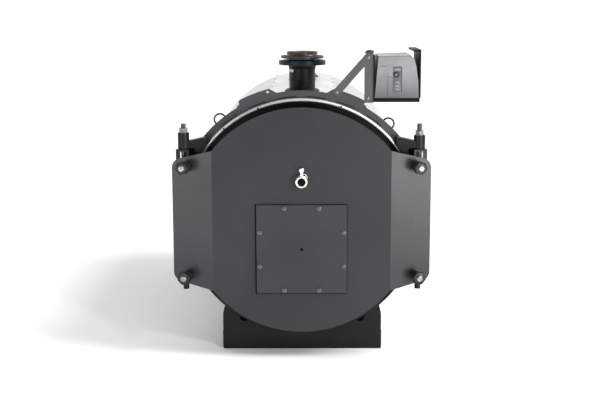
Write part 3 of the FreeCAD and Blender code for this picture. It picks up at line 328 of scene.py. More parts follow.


# ---- Front ring ----
# The door closes on a ring with a rolled lip.  Its upper half is bright stainless,
# seen as the thin line over the door, with three dark clips; the rest takes the
# black base paint as painted shade, so that no bright line shows under the door.


def turn(mesh, section, place, steps=96, closed=True, begin=0, end=360):
    """Spins a section of (radius, height) points about the place's own Z axis."""
    whole = end - begin == 360
    rings = []
    for index in range(steps if whole else steps + 1):
        angle = math.radians(begin + (end - begin) * index / steps)
        rings.append([mesh.verts.new(place @ Vector((r * math.cos(angle), r * math.sin(angle), h)))
                      for r, h in section])
    if not whole:
        mesh.faces.new(rings[0])
        mesh.faces.new(reversed(rings[-1]))
    for index in range(steps):
        loft(mesh, rings[index], rings[(index + 1) % len(rings)], closed)
    bmesh.ops.remove_doubles(mesh, verts=[vert for ring in rings for vert in ring], dist=1e-7)


def soften(points, radius, steps=3):
    """Rounds every corner of a closed outline."""
    rounded = []
    for index, point in enumerate(points):
        here = Vector(point)
        back = Vector(points[index - 1]) - here
        ahead = Vector(points[(index + 1) % len(points)]) - here
        start = here + back.normalized() * min(radius, back.length * 0.48)
        end = here + ahead.normalized() * min(radius, ahead.length * 0.48)
        for step in range(steps + 1):
            t = step / steps
            rounded.append((1 - t) ** 2 * start + 2 * t * (1 - t) * here + t * t * end)
    return [tuple(point) for point in rounded]


def facing(point, along, spin=0.0):
    """A place at a point whose Z looks along a direction."""
    turned = Vector(along).to_track_quat("Z", "Y").to_matrix().to_4x4()
    return Matrix.Translation(point) @ turned @ Matrix.Rotation(spin, 4, "Z")


def washer(mesh, place, bore, radius, low, high, edge, corner_steps=3, **spin):
    """A turned ring from low to high along the place's Z, with rounded rims."""
    turn(mesh, soften([(bore, low), (radius, low), (radius, high), (bore, high)], edge,
                      corner_steps), place, **spin)


FRONT = (0, -1, 0)
BACK = (0, 1, 0)
UP = (0, 0, 1)


def turned_stainless():
    """Turned stainless steel: bright and even, with a 1 mm grain."""
    return finish("turned_stainless_steel", "#e9e8e6", "#d6d5d3", 0.46, patch_mm=60,
                  grain_mm=1.0, grain_depth_mm=0.003, metallic=1.0, spread=0.05)[0]


def clip_steel():
    """Blackened spring steel of the small clips."""
    return finish("blackened_clip_steel", "#262729", "#161718", 0.35, patch_mm=12, grain_mm=0.5,
                  grain_depth_mm=0.02, metallic=0.6)[0]


ring_low, ring_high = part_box("door_seat_ring")
RING_R = ring_high.x
LIP_R = 0.008
SHADE_EDGE = 8
ring_depth = ring_high.y - ring_low.y
lip_section = [(RING_R, 0)]
for step in range(13):
    angle = math.pi * step / 12
    lip_section.append((RING_R - LIP_R + LIP_R * math.cos(angle),
                        ring_depth - LIP_R + LIP_R * math.sin(angle)))
lip_section.append((RING_R - 2 * LIP_R, 0))
ring_place = facing((0, ring_high.y, AXIS_Z), FRONT)
upper_ring = bmesh.new()
turn(upper_ring, lip_section, ring_place, steps=160, begin=-SHADE_EDGE, end=180 + SHADE_EDGE)
settle("door_seat_ring_upper", upper_ring, turned_stainless(), "boiler",
       stands_for=("door_seat_ring",))
# Painted shade: the lower part of the ring takes the black base paint.
shaded_lower_ring = bmesh.new()
turn(shaded_lower_ring, lip_section, ring_place, steps=136, begin=180 + SHADE_EDGE,
     end=360 - SHADE_EDGE)
settle("door_seat_ring_painted_shade", shaded_lower_ring, black_paint, "boiler")


def slab(mesh, outline, place, thickness, edge=0.0, segments=2):
    """Raises an outline along the place's Z and rounds its rims."""
    raised = bmesh.new()
    face = raised.faces.new([raised.verts.new((x, y, 0)) for x, y in outline])
    upper = bmesh.ops.extrude_face_region(raised, geom=[face])["geom"]
    bmesh.ops.translate(raised, vec=(0, 0, thickness),
                        verts=[item for item in upper if isinstance(item, bmesh.types.BMVert)])
    if edge:
        rims = [item for item in raised.edges
                if abs(item.verts[0].co.z - item.verts[1].co.z) < 1e-9]
        bmesh.ops.bevel(raised, geom=rims, offset=edge, segments=segments, profile=0.5,
                        affect="EDGES", material=-1)
    bmesh.ops.recalc_face_normals(raised, faces=raised.faces)
    carrier = bpy.data.meshes.new("carrier")
    raised.to_mesh(carrier)
    raised.free()
    carrier.transform(place)
    mesh.from_mesh(carrier)
    bpy.data.meshes.remove(carrier)


def rectangle(width, height, x=0.0, y=0.0):
    """The corners of a rectangle about a point."""
    return [(x - width / 2, y - height / 2), (x + width / 2, y - height / 2),
            (x + width / 2, y + height / 2), (x - width / 2, y + height / 2)]


clips = bmesh.new()
for angle in (-40.6, -21.4, 19.3):
    turned = math.radians(angle)
    spot = outward(turned) * (RING_R - 0.012)
    here = Matrix.Translation((spot.x, ring_low.y - 0.0005, AXIS_Z + spot.z)) @ Matrix.Rotation(
        turned, 4, "Y") @ Matrix.Rotation(math.radians(90), 4, "X")
    slab(clips, soften(rectangle(0.008, 0.018), 0.002), here, 0.003, 0.0006)
settle("seat_ring_clips", clips, clip_steel(), "boiler")

# The flange behind the ring and the collar plate round it are painted like the
# door.  The collar carries the slots and holes that cable ties pass through.


def anthracite(name, tone="#303133", deep="#28292a"):
    """Anthracite powder coat: satin, with a 1.1 mm texture and hardly any patchiness."""
    return finish(name, tone, deep, 0.34, patch_mm=420, grain_mm=1.1, grain_depth_mm=0.02,
                  spread=0.05, specular=0.24)


dress("front_flange", black_paint, 0.8)
dress("front_collar", anthracite("anthracite_collar_paint", "#454648", "#3a3b3d")[0], 0.7)

# A rubber edging is pushed over the front edge of the cladding; it shows black
# through the collar's slots as painted shade.  A deeper lip of the same rubber
# closes the belly sheet's front edge behind the lifting holes: a dark sheet put
# there as painted shade, so that the holes read black.


def shade_black_rubber():
    """Matt black rubber, with hardly any shine, put in as painted shade."""
    return finish("painted_shade_rubber", "#0b0b0c", "#060606", 0.8, patch_mm=20, grain_mm=0.8,
                  grain_depth_mm=0.02, specular=0.1)[0]


edging = bmesh.new()
washer(edging, facing((0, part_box("front_collar")[1].y + 0.0069, AXIS_Z), FRONT), 0.6085, 0.6195,
       0, 0.007, 0.0015, steps=120, begin=30, end=150)
washer(edging, facing((0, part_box("cladding_belly")[0].y - 0.0001, AXIS_Z), FRONT), 0.6020,
       0.6385, 0, 0.0042, 0.0012, steps=96, begin=232, end=308)
painted_shade_rubber = shade_black_rubber()
settle("painted_shade_edging", edging, painted_shade_rubber, "boiler")


# ---- Cladding ----
# Silver-grey coated sheet, rolled round the insulation.  It keeps a faint wave
# from the rolls and a fine satin grain that runs along the boiler.


def cladding_sheet(name, tone, deep):
    """Coil-coated sheet: metallic silver-grey, with 0.5 mm waves 180 mm apart."""
    material, tree, shader, place, _, bump = finish(
        name, tone, deep, 0.36, patch_mm=300, grain_mm=2.2, grain_depth_mm=0.012,
        metallic=0.75, spread=0.05, stretch=(1, 0.04, 1))
    relief(tree, shader, bump, noise(tree, place, 180, detail=1), 0.0012)
    return material


side_sheet = cladding_sheet("silver_grey_side_sheet", "#c3c4c4", "#b6b7b8")
crown_material = cladding_sheet("silver_grey_crown_sheet", "#d8d8d6", "#c6c7c6")
for node in ("cladding_left", "cladding_right", "cladding_belly"):
    dress(node, side_sheet)
dress("cladding_crown", crown_material)
dress("rear_ring", side_sheet, 0.6)

# Self-drilling screws pin the laps: along both crown seams, up the lower edges
# of the sides, and round the rear ring.  Each has a washer face and a hexagon.


def hexagon_radius(corner, angle):
    """Distance from the centre of a hexagon to its side, at an angle."""
    sixth = math.pi / 3
    return corner * math.cos(sixth / 2) / math.cos((angle % sixth) - sixth / 2)


def nut(mesh, place, corner, height, bore=0.0, sectors=8, chamfer_below=True):
    """A hexagon with the curved chamfers that turning leaves on its corners."""
    steps = 6 * sectors
    flat = corner * math.cos(math.pi / 6)
    slope = math.tan(math.radians(30))
    rings = []
    for index in range(steps):
        angle = math.tau * index / steps
        side = hexagon_radius(corner, angle)
        drop = (side - flat * 0.97) * slope
        low_drop = drop if chamfer_below else 0.0
        inner = min(flat * 0.97, side)
        section = [(bore, 0), (inner if chamfer_below else side, 0), (side, low_drop),
                   (side, height - drop), (inner, height), (bore, height)]
        rings.append([mesh.verts.new(place @ Vector((r * math.cos(angle), r * math.sin(angle), h)))
                      for r, h in section])
    for index in range(steps):
        loft(mesh, rings[index], rings[(index + 1) % steps], bool(bore))
    bmesh.ops.remove_doubles(mesh, verts=[vert for ring in rings for vert in ring], dist=1e-7)


def sheet_screw(mesh, point, out, spin):
    """One 4.8 mm sheet screw with its sealing washer."""
    here = facing(point, out, spin)
    turn(mesh, [(0, 0), (0.0072, 0), (0.0072, 0.0008), (0.0060, 0.0018), (0, 0.0020)], here,
         steps=20, closed=False)
    nut(mesh, facing(Vector(point) + Vector(out) * 0.0019, out, spin), 0.0046, 0.0036, sectors=3)


def zinc_plate():
    """Bright zinc plating with a faint blue passivation and 8 mm cloudy patches."""
    return finish("blue_passivated_zinc", "#808285", "#5a5c5f", 0.44, patch_mm=8, grain_mm=0.7,
                  grain_depth_mm=0.012, metallic=0.85)[0]


def coated_screw_steel():
    """Sheet screws with heads coated to match the cladding."""
    return finish("coated_screw_heads", "#c9cbcc", "#b1b3b4", 0.4, patch_mm=6, grain_mm=0.6,
                  grain_depth_mm=0.01, metallic=0.5)[0]


def bolt_circle(count, radius, y, z=AXIS_Z):
    """Points evenly round a circle that faces the front, half a step off the top."""
    return [Vector((0, y, z)) + outward(math.tau * (index + 0.5) / count) * radius
            for index in range(count)]


zinc = zinc_plate()
clad_low, clad_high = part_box("cladding_right")
CLAD_R = clad_high.x
CROWN_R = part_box("cladding_crown")[1].z - AXIS_Z
REAR_RING_R = 0.585
END_SCREW = 0.06
screws = bmesh.new()
chance = random.Random(4)
for seam_angle, radius, count in ((17.2, CROWN_R, 7), (135.5, CLAD_R, 9)):
    for side in (-1, 1):
        out = outward(math.radians(side * seam_angle))
        for index in range(count):
            y = clad_low.y + END_SCREW \
                + (clad_high.y - clad_low.y - 2 * END_SCREW) * index / (count - 1)
            sheet_screw(screws, Vector((0, y, AXIS_Z)) + out * radius, out, chance.uniform(0, 1))
for spot in bolt_circle(20, REAR_RING_R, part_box("rear_ring")[1].y):
    sheet_screw(screws, spot, BACK, chance.uniform(0, 1))
settle("cladding_screws", screws, coated_screw_steel(), "boiler")

# The lap of the crown has a hemmed edge, and a beige sensor grommet sits beside
# the right-hand seam.

HEM_R = 0.0019
hems = bmesh.new()
for side in (-1, 1):
    edge_angle = math.radians(side * 18)
    out = outward(edge_angle)
    along = outward(edge_angle + math.pi / 2) * side
    base = Vector((0, 0, AXIS_Z)) + out * (CROWN_R - 0.0016) - along * 0.002
    ends = [[hems.verts.new(base + Vector((0, y, 0)) + out * HEM_R * math.cos(a)
                            + along * HEM_R * math.sin(a))
             for a in (math.tau * k / 10 for k in range(10))]
            for y in (clad_low.y + 0.001, clad_high.y - 0.001)]
    loft(hems, *ends)
    hems.faces.new(ends[0])
    hems.faces.new(reversed(ends[1]))
settle("crown_hems", hems, crown_material, "boiler")


def beige_moulding():
    """Beige polyamide of the sensor grommet."""
    return finish("beige_polyamide", "#b7a98c", "#a29374", 0.55, patch_mm=10, grain_mm=0.8,
                  grain_depth_mm=0.02)[0]


grommet_out = outward(math.radians(20.8))
grommet = bmesh.new()
turn(grommet, [(0, 0), (0.021, 0), (0.021, 0.004), (0.018, 0.007), (0.012, 0.008),
               (0.011, 0.016), (0.008, 0.018), (0, 0.018)],
     facing(Vector((0, 0.17, AXIS_Z)) + grommet_out * (CLAD_R - 0.0005), grommet_out),
     steps=40, closed=False)
settle("sensor_grommet", grommet, beige_moulding(), "boiler")


# ---- Smoke box ----
# Behind the shell: a flanged cover with its bolts, the flue spigot with a bead
# at its root, and a cleaning hatch held by two wing nuts.


def hot_black():
    """Heat-proof black of the smoke box: matt, with a 1.5 mm cast-like grain."""
    material, tree, shader, _, colour, _ = finish(
        "heatproof_black_paint", "#232323", "#171717", 0.58, patch_mm=150, grain_mm=1.5,
        grain_depth_mm=0.06)
    dusty(tree, shader, colour, "#6b675f", 0.12)
    return material


smoke_black = hot_black()
dress("smoke_box", smoke_black)
dress("smoke_box_cover", smoke_black, 1.0)
dress("flue_spigot", smoke_black, 0.6)
dress("cleaning_hatch", anthracite("anthracite_hatch_paint")[0], 2.0, 3)


def hex_bolt(mesh, point, out, shank, spin=0.0):
    """A hexagon head on its washer, sized from the shank radius."""
    thick = shank * 0.4
    washer(mesh, facing(point, out, spin), shank, shank * 2.15, 0, thick, thick * 0.3, 2,
           steps=40)
    head = facing(Vector(point) + Vector(out) * thick, out, spin)
    nut(mesh, head, shank * 1.84, shank * 1.3, sectors=6, chamfer_below=False)


cover_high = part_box("smoke_box_cover")[1]
cover_bolts = bmesh.new()
for spot in bolt_circle(16, cover_high.x - 0.022, cover_high.y):
    hex_bolt(cover_bolts, spot, BACK, 0.005, chance.uniform(0, 1))
settle("smoke_box_bolts", cover_bolts, zinc, "boiler")

spigot_low, spigot_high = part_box("flue_spigot")
spigot_weld = bmesh.new()
bead(spigot_weld, arc((0, spigot_low.y + 0.001, middle("flue_spigot").z),
                      spigot_high.x + 0.001, 0, 358, 0.002), 0.0032, 0.006)
settle("flue_spigot_weld", spigot_weld, smoke_black, "boiler")

hatch_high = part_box("cleaning_hatch")[1]
hatch_z = middle("cleaning_hatch").z
hatch_fittings = bmesh.new()
for side in (-1, 1):
    centre = Vector((side * (hatch_high.x - 0.035), hatch_high.y, hatch_z))
    here = facing(centre, BACK)
    washer(hatch_fittings, here, 0.006, 0.015, 0, 0.003, 0.0006, steps=40)
    turn(hatch_fittings, [(0, 0), (0.006, 0), (0.006, 0.030), (0.005, 0.031), (0, 0.031)], here,
         steps=32, closed=False)
    turn(hatch_fittings, soften([(0.006, 0.003), (0.012, 0.003), (0.010, 0.016), (0.006, 0.016)],
                                0.0012), here, steps=40)
    for wing in (-1, 1):
        slab(hatch_fittings, soften([(0.008, 0), (0.011, 0.003), (0.026, 0.019), (0.024, 0.026),
                                     (0.017, 0.024), (0.007, 0.010)], 0.003),
             Matrix.Translation(centre + Vector((0, 0.003, 0)))
             @ Matrix.Rotation(math.pi if wing < 0 else 0, 4, "Y")
             @ Matrix.Translation((0, 0, -0.0017)), 0.0034, 0.0009)
settle("hatch_wing_nuts", hatch_fittings, zinc, "boiler")

grip = bmesh.new()
grip_y = hatch_high.y
rail = [(-0.055, grip_y - 0.001), (-0.055, grip_y + 0.026), (-0.045, grip_y + 0.036),
        (0.045, grip_y + 0.036), (0.055, grip_y + 0.026), (0.055, grip_y - 0.001)]
grip_path = []
for (x0, y0), (x1, y1) in zip(rail, rail[1:]):
    grip_path += run((x0, y0, hatch_z), (x1, y1, hatch_z), 0.006)[:-1]
grip_path.append(Vector((*rail[-1], hatch_z)))
bead(grip, grip_path, 0.0055)
settle("hatch_grip", grip, black_paint, "boiler")


# ---- Nozzles ----
# Weld-neck flanges on black-painted pipe.  A pressed rosette closes the gap in
# the cladding, and the root weld shows above the shell.

PIPE_R = 0.06985
nozzle_beads = bmesh.new()
rosettes = bmesh.new()
for node in ("flow_nozzle", "return_nozzle"):
    dress(node, black_paint, 0.9)
    centre_y = middle(node).y
    neck_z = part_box(node)[1].z - 0.043
    for height, size in ((neck_z, 0.0024), (neck_z - 0.062, 0.0020)):
        bead(nozzle_beads, arc((0, centre_y, height), PIPE_R + 0.0003, 0, 356, 0.0014,
                               Vector((1, 0, 0)), Vector((0, 1, 0))), size, 0.0045)
    foot = AXIS_Z + CROWN_R - 0.006
    turn(rosettes, soften([(PIPE_R + 0.001, 0), (0.094, 0), (0.090, 0.0075), (0.080, 0.013),
                           (PIPE_R + 0.001, 0.015)], 0.002),
         facing((0, centre_y, foot), UP), steps=96)
settle("nozzle_welds", nozzle_beads, black_paint, "boiler")
settle("nozzle_rosettes", rosettes, black_paint, "boiler")

# A white plastic plug closes the small boss on the flow neck.

plug_turn = math.radians(222)
plug_out = Vector((math.cos(plug_turn), math.sin(plug_turn), 0))
plug = bmesh.new()
turn(plug, [(0, 0), (0.0095, 0), (0.0095, 0.004), (0.0070, 0.006), (0.0070, 0.013),
            (0.0055, 0.0145), (0, 0.0145)],
     facing(Vector((0, middle("flow_nozzle").y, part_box("flow_nozzle")[1].z - 0.053))
            + plug_out * (PIPE_R - 0.002), plug_out), steps=32, closed=False)
settle("neck_plug", plug, finish("white_polyamide", "#e4e3df", "#cfcdc8", 0.45, patch_mm=8,
                                 grain_mm=0.8, grain_depth_mm=0.01)[0], "boiler")

# The flow flange travels with a blue foam seal, a black disc that its tie rods
# pass through, and a brown pipe cap with a dark rim.


def blue_foam():
    """Closed-cell blue foam: 1.8 mm cells, a little sheen."""
    return finish("blue_cell_foam", "#5ba6ec", "#3a80c4", 0.5, patch_mm=14, grain_mm=1.8,
                  grain_depth_mm=0.16)[0]


def black_moulding(name="black_moulded_plastic", rough=0.44, tone="#1b1c1d", deep="#121314"):
    """Spark-eroded plastic: 0.7 mm texture."""
    return finish(name, tone, deep, rough, patch_mm=60, grain_mm=0.7, grain_depth_mm=0.04)[0]


def brown_cap_plastic():
    """Red-brown polyethylene with a waxy shine."""
    return finish("red_brown_polyethylene", "#6e2f28", "#54211c", 0.34, patch_mm=25,
                  grain_mm=1.4, grain_depth_mm=0.03)[0]


def stands_on(node):
    """The place at the middle of a node's underside, its height and its radius."""
    low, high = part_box(node)
    centre = Vector(((low.x + high.x) / 2, (low.y + high.y) / 2, low.z))
    return facing(centre, UP), high.z - low.z, (high.x - low.x) / 2


plastic = black_moulding()
here, height, radius = stands_on("flow_seal")
seal = bmesh.new()
turn(seal, soften([(0.045, 0), (radius - 0.002, 0), (radius, height * 0.5),
                   (radius - 0.002, height), (0.045, height)], 0.002), here, steps=96)
settle("flow_seal_foam", seal, blue_foam(), "boiler", stands_for=("flow_seal",))

here, height, radius = stands_on("flow_blank")
disc = bmesh.new()
turn(disc, [(0, 0), (radius - 0.004, 0), (radius, 0.003), (radius, height - 0.003),
            (radius - 0.003, height), (radius - 0.012, height), (radius - 0.014, height - 0.003),
            (0, height - 0.003)], here, steps=128, closed=False)
settle("flow_blank_disc", disc, plastic, "boiler", stands_for=("flow_blank",))

here, height, radius = stands_on("flow_cap")
cap = bmesh.new()
turn(cap, [(0, 0), (radius - 0.004, 0), (radius - 0.001, 0.002), (radius - 0.003, 0.005),
           (radius - 0.004, height - 0.007)], here, steps=128, closed=False)
for index in range(36):
    angle = math.tau * index / 36
    slab(cap, soften(rectangle(0.003, 0.0045), 0.001), here @ Matrix.Rotation(angle, 4, "Z")
         @ Matrix.Translation((radius - 0.0040, 0, 0.003)), height - 0.010, 0.0006)
settle("flow_cap_skirt", cap, brown_cap_plastic(), "boiler",
       stands_for=("flow_cap",))
rim = bmesh.new()
turn(rim, [(0, height - 0.004), (radius - 0.016, height - 0.004), (radius - 0.014, height),
           (radius - 0.002, height), (radius, height - 0.002), (radius, height - 0.006),
           (radius - 0.006, height - 0.008)], here, steps=128, closed=False)
settle("flow_cap_rim", rim, plastic, "boiler")


# ---- Lifting rings ----
# Bent rod eyes for the cladding: an open loop whose two ends run down to the
# sheet, in black.

EYE_R = 0.0284
ROD_R = 0.0046
loops = bmesh.new()
for angle, reach in ((-39.6, 1), (42.6, -1)):
    turned = math.radians(angle)
    out = outward(turned)
    along = outward(turned + math.pi / 2)
    centre = Vector((0, middle("lifting_rings").y, AXIS_Z)) + out * (CLAD_R + EYE_R + ROD_R)
    path = [centre - out * (EYE_R + ROD_R + 0.001) + along * 0.006 * -reach]
    path += arc(centre, EYE_R, 180 - reach * 12, 180 - reach * 322, 0.0028, along, out)
    bead(loops, path, ROD_R)
settle("lifting_eyes", loops, clip_steel(), "boiler", stands_for=("lifting_rings",))


# ---- Door ----
# One 14 mm plate with both wings folded back, powder coated anthracite.  Rings
# welded to its back print through the wings as a faint round line, raised a
# little and painted lighter as a painted highlight.


def reckon(tree, operation, first, second=0.0):
    """One step of arithmetic on shader values."""
    return add(tree, "Math", {0: first, 1: second}, operation=operation).outputs[0]


def door_paint():
    """The door's powder coat, with a faint weld print on the wings, 3 mm wide, raised and painted
    lighter as a painted highlight.
    """
    material, tree, shader, place, colour, bump = anthracite("anthracite_door_paint")
    across = part(tree, place, "X")
    rise = reckon(tree, "SUBTRACT", part(tree, place, "Z"), AXIS_Z)
    total = reckon(tree, "ADD", reckon(tree, "MULTIPLY", rise, rise),
                   reckon(tree, "MULTIPLY", across, across))
    miss = reckon(tree, "SUBTRACT", reckon(tree, "POWER", total, 0.5), PRINT_R)
    line = ramp(tree, reckon(tree, "ABSOLUTE", miss), 0.0008, 0.0035, 1, 0)
    on_wing = ramp(tree, reckon(tree, "ABSOLUTE", across), 0.450, 0.475, 0, 1)
    print_relief_and_highlight = reckon(tree, "MULTIPLY", line, on_wing)
    relief(tree, shader, bump, print_relief_and_highlight, 0.0001)
    recolour(tree, shader, blend(tree, ramp(tree, print_relief_and_highlight, 0, 1, 0, 0.12), colour,
                                 linear("#4a4b4d")))
    return material


PRINT_R = 0.567
dress("door_plate", door_paint(), 1.6, 3)
for node in ("door_lugs_left", "door_lugs_right"):
    dress(node, black_paint, 1.0)

# Behind the plate: a cast refractory block in a black sheet casing, and a
# three-strand glass-rope gasket laid round its edge.  The casing's black also
# serves as painted shade in the gap round the door.


def refractory():
    """Cast fireclay: buff, with 6 mm aggregate and pits, and faint trowel shading."""
    material, tree, shader, place, colour, _ = finish(
        "cast_refractory", "#b9ab91", "#aa9c82", 0.9, patch_mm=70, grain_mm=5,
        grain_depth_mm=0.7, spread=0.12)
    stones = add(tree, "TexVoronoi", {"Vector": place, "Scale": 1000 / 7}).outputs["Distance"]
    flecks = ramp(tree, stones, 0.05, 0.22, 0.55, 0)
    recolour(tree, shader, blend(tree, flecks, colour, linear("#7d6c55")))
    return material


def glass_rope():
    """Woven glass rope: off-white, with a 2.5 mm weave."""
    return finish("woven_glass_rope", "#d8d2c2", "#b9b1a0", 0.95, patch_mm=9, grain_mm=2.5,
                  grain_depth_mm=0.6)[0]


dress("door_lining", refractory(), 2.5, 2)
lining_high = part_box("door_lining")[1]
# Painted shade: the black casing darkens the gap between the door and the ring.
casing = bmesh.new()
washer(casing, facing((0, lining_high.y, AXIS_Z), FRONT), lining_high.x + 0.0001,
       lining_high.x + 0.0026, 0.0005, 0.0660, 0.0008, steps=200)
settle("lining_casing", casing, black_paint, "door")
GASKET_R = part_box("door_gasket")[1].x - 0.010
STRAND_R = 0.0031
TWIST_R = 0.0033
TWISTS = 90
rope = bmesh.new()
for strand in range(3):
    path = []
    for index in range(TWISTS * 14):
        turned = math.tau * index / (TWISTS * 14)
        twist = TWISTS * turned + math.tau * strand / 3
        path.append(Vector((0, middle("door_gasket").y + TWIST_R * math.sin(twist), AXIS_Z))
                    + outward(turned) * (GASKET_R + TWIST_R * math.cos(twist)))
    bead(rope, path, STRAND_R, closed=True, seed=strand)
settle("door_rope_gasket", rope, glass_rope(), "door", stands_for=("door_gasket",))


# ---- Burner plate ----
# The square blanking plate over the burner port: 14 mm plate on a thin black
# packing, sprayed like the door, with eight hexagon bolts on washers.  The
# packing is set down and to the left as a painted shadow line, and a black
# ring under each bolt is a painted shadow.

dress("burner_plate", anthracite("anthracite_burner_plate_paint", "#343537", "#2c2d2e")[0],
      1.8, 3)
plate_low, plate_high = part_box("burner_plate")
burner_z = middle("burner_plate").z
# Painted shadow: the packing is 9 mm wider than the plate and shifted 2 mm left and 2.5 mm down.
packing = bmesh.new()
packing_side = plate_high.x - plate_low.x + 0.009
slab(packing, soften(rectangle(packing_side, packing_side, -0.002, -0.0025), 0.003),
     facing((0, plate_high.y - 0.0001, burner_z), FRONT), 0.003, 0.0006)
settle("burner_plate_shadow_packing", packing, painted_shade_rubber, "door")
BURNER_BOLT_RING = 0.2265
burner_bolts = bmesh.new()
bolt_shadow_rings = bmesh.new()
for spot in bolt_circle(8, BURNER_BOLT_RING, plate_low.y, burner_z):
    hex_bolt(burner_bolts, spot, FRONT, 0.006, chance.uniform(0, 1))
    turn(bolt_shadow_rings, [(0.005, 0), (0.0125, 0), (0.0125, 0.0007), (0.005, 0.0007)],
         facing(spot, FRONT), steps=40)
settle("burner_bolt_shadow_rings", bolt_shadow_rings, painted_shade_rubber, "door")


def overpainted_steel():
    """Bolt heads sprayed over with the plate, and painted lighter than it as a painted highlight.
    """
    return finish("overpainted_bolt_steel", "#5c5e60", "#3e3f41", 0.34, patch_mm=6,
                  grain_mm=0.8, grain_depth_mm=0.03, metallic=0.35)[0]


settle("burner_plate_bolts", burner_bolts, overpainted_steel(), "door",
       stands_for=("burner_bolts",))


# ---- Sight glass ----
# A plated brass ring that holds the glass, with a small air valve on top: a
# waisted stem, a knurled cap, and a wire lever to its right.


def bright_plate():
    """Bright nickel plate on brass."""
    return finish("bright_nickel_plate", "#efeeec", "#dad8d4", 0.34, patch_mm=14, grain_mm=0.5,
                  grain_depth_mm=0.006, metallic=1.0)[0]


def peep_glass():
    """Heat-proof glass, dark because the furnace behind it is unlit."""
    return finish("heatproof_peep_glass", "#050606", "#020303", 0.08, patch_mm=30, grain_mm=4,
                  grain_depth_mm=0.002, specular=0.12)[0]


nickel = bright_plate()
sight_low, sight_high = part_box("sight_ring")
sight_r = sight_high.x
sight_reach = sight_high.y - sight_low.y
sight = bmesh.new()
turn(sight, soften([
    (sight_r, 0), (sight_r, 0.010), (sight_r - 0.003, 0.013),
    (sight_r - 0.003, sight_reach - 0.016), (sight_r, sight_reach - 0.012),
    (sight_r, sight_reach - 0.001), (sight_r - 0.002, sight_reach), (0.0205, sight_reach),
    (0.0195, sight_reach - 0.003), (0.0195, 0)], 0.0008, 2),
     facing((0, sight_high.y, middle("sight_ring").z), FRONT), steps=96)
settle("sight_ring_turned", sight, nickel, "door", stands_for=("sight_ring",))
dress("sight_lens", peep_glass())

valve_y = middle("sight_valve").y
valve_place = facing((0, valve_y, sight_high.z), UP)
valve_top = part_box("sight_valve")[1].z - sight_high.z
valve = bmesh.new()
turn(valve, [(0, -0.004), (0.0105, -0.004), (0.0105, 0.003), (0.0070, 0.005), (0.0065, 0.012),
             (0.0078, 0.014), (0.0078, 0.018), (0.0120, 0.019), (0.0124, 0.021),
             (0.0124, valve_top - 0.003), (0.0105, valve_top), (0, valve_top)],
     valve_place, steps=48, closed=False)
for index in range(28):
    slab(valve, rectangle(0.0010, 0.0012), valve_place
         @ Matrix.Rotation(math.tau * index / 28, 4, "Z")
         @ Matrix.Translation((0.0121, 0, 0.0215)), valve_top - 0.0265, 0.0002, 1)
lever = [(0.006, valve_y, sight_high.z + 0.009), (0.020, valve_y, sight_high.z + 0.006),
         (0.031, valve_y, sight_high.z - 0.012)]
bead(valve, run(lever[0], lever[1], 0.002)[:-1] + run(lever[1], lever[2], 0.002), 0.0019)
settle("sight_air_valve", valve, nickel, "door", stands_for=("sight_valve",))


# ---- Clamp bolts ----
# Four M36 studs pull the wings onto the clamp blocks: a washer, a distance
# sleeve, and a hexagon nut near the end of a stud with a cut thread.


def thread(mesh, place, radius, pitch, low, high):
    """A threaded bar from low to high, its ends chamfered and closed."""
    depth = pitch * 0.55
    sides = 28
    levels = max(4, round((high - low) / pitch * 6))
    rings = []
    for level in range(levels + 1):
        h = low + (high - low) * level / levels
        taper = min(1.0, (h - low + 0.0004) / (pitch * 1.2), (high - h + 0.0004) / (pitch * 1.2))
        ring = []
        for side in range(sides):
            angle = math.tau * side / sides
            phase = (h / pitch - side / sides) % 1.0
            r = radius - depth * (1 - abs(2 * phase - 1)) - depth * 1.2 * (1 - taper)
            ring.append(mesh.verts.new(place @ Vector((r * math.cos(angle), r * math.sin(angle),
                                                       h))))
        rings.append(ring)
    for one, two in zip(rings, rings[1:]):
        loft(mesh, one, two)
    mesh.faces.new(reversed(rings[0]))
    mesh.faces.new(rings[-1])


def oiled_black():
    """Oil-blackened steel of the big nuts and studs: satin, with rubbed corners."""
    return finish("oil_blackened_steel", "#1e1f20", "#101111", 0.36, patch_mm=22, grain_mm=0.8,
                  grain_depth_mm=0.03, metallic=0.1, specular=0.3)[0]


def rubbed_steel():
    """The stud ends, rubbed bright by the spanner."""
    return finish("rubbed_bright_steel", "#8f8e8b", "#5d5c5a", 0.42, patch_mm=9, grain_mm=0.7,
                  grain_depth_mm=0.02, metallic=1.0)[0]


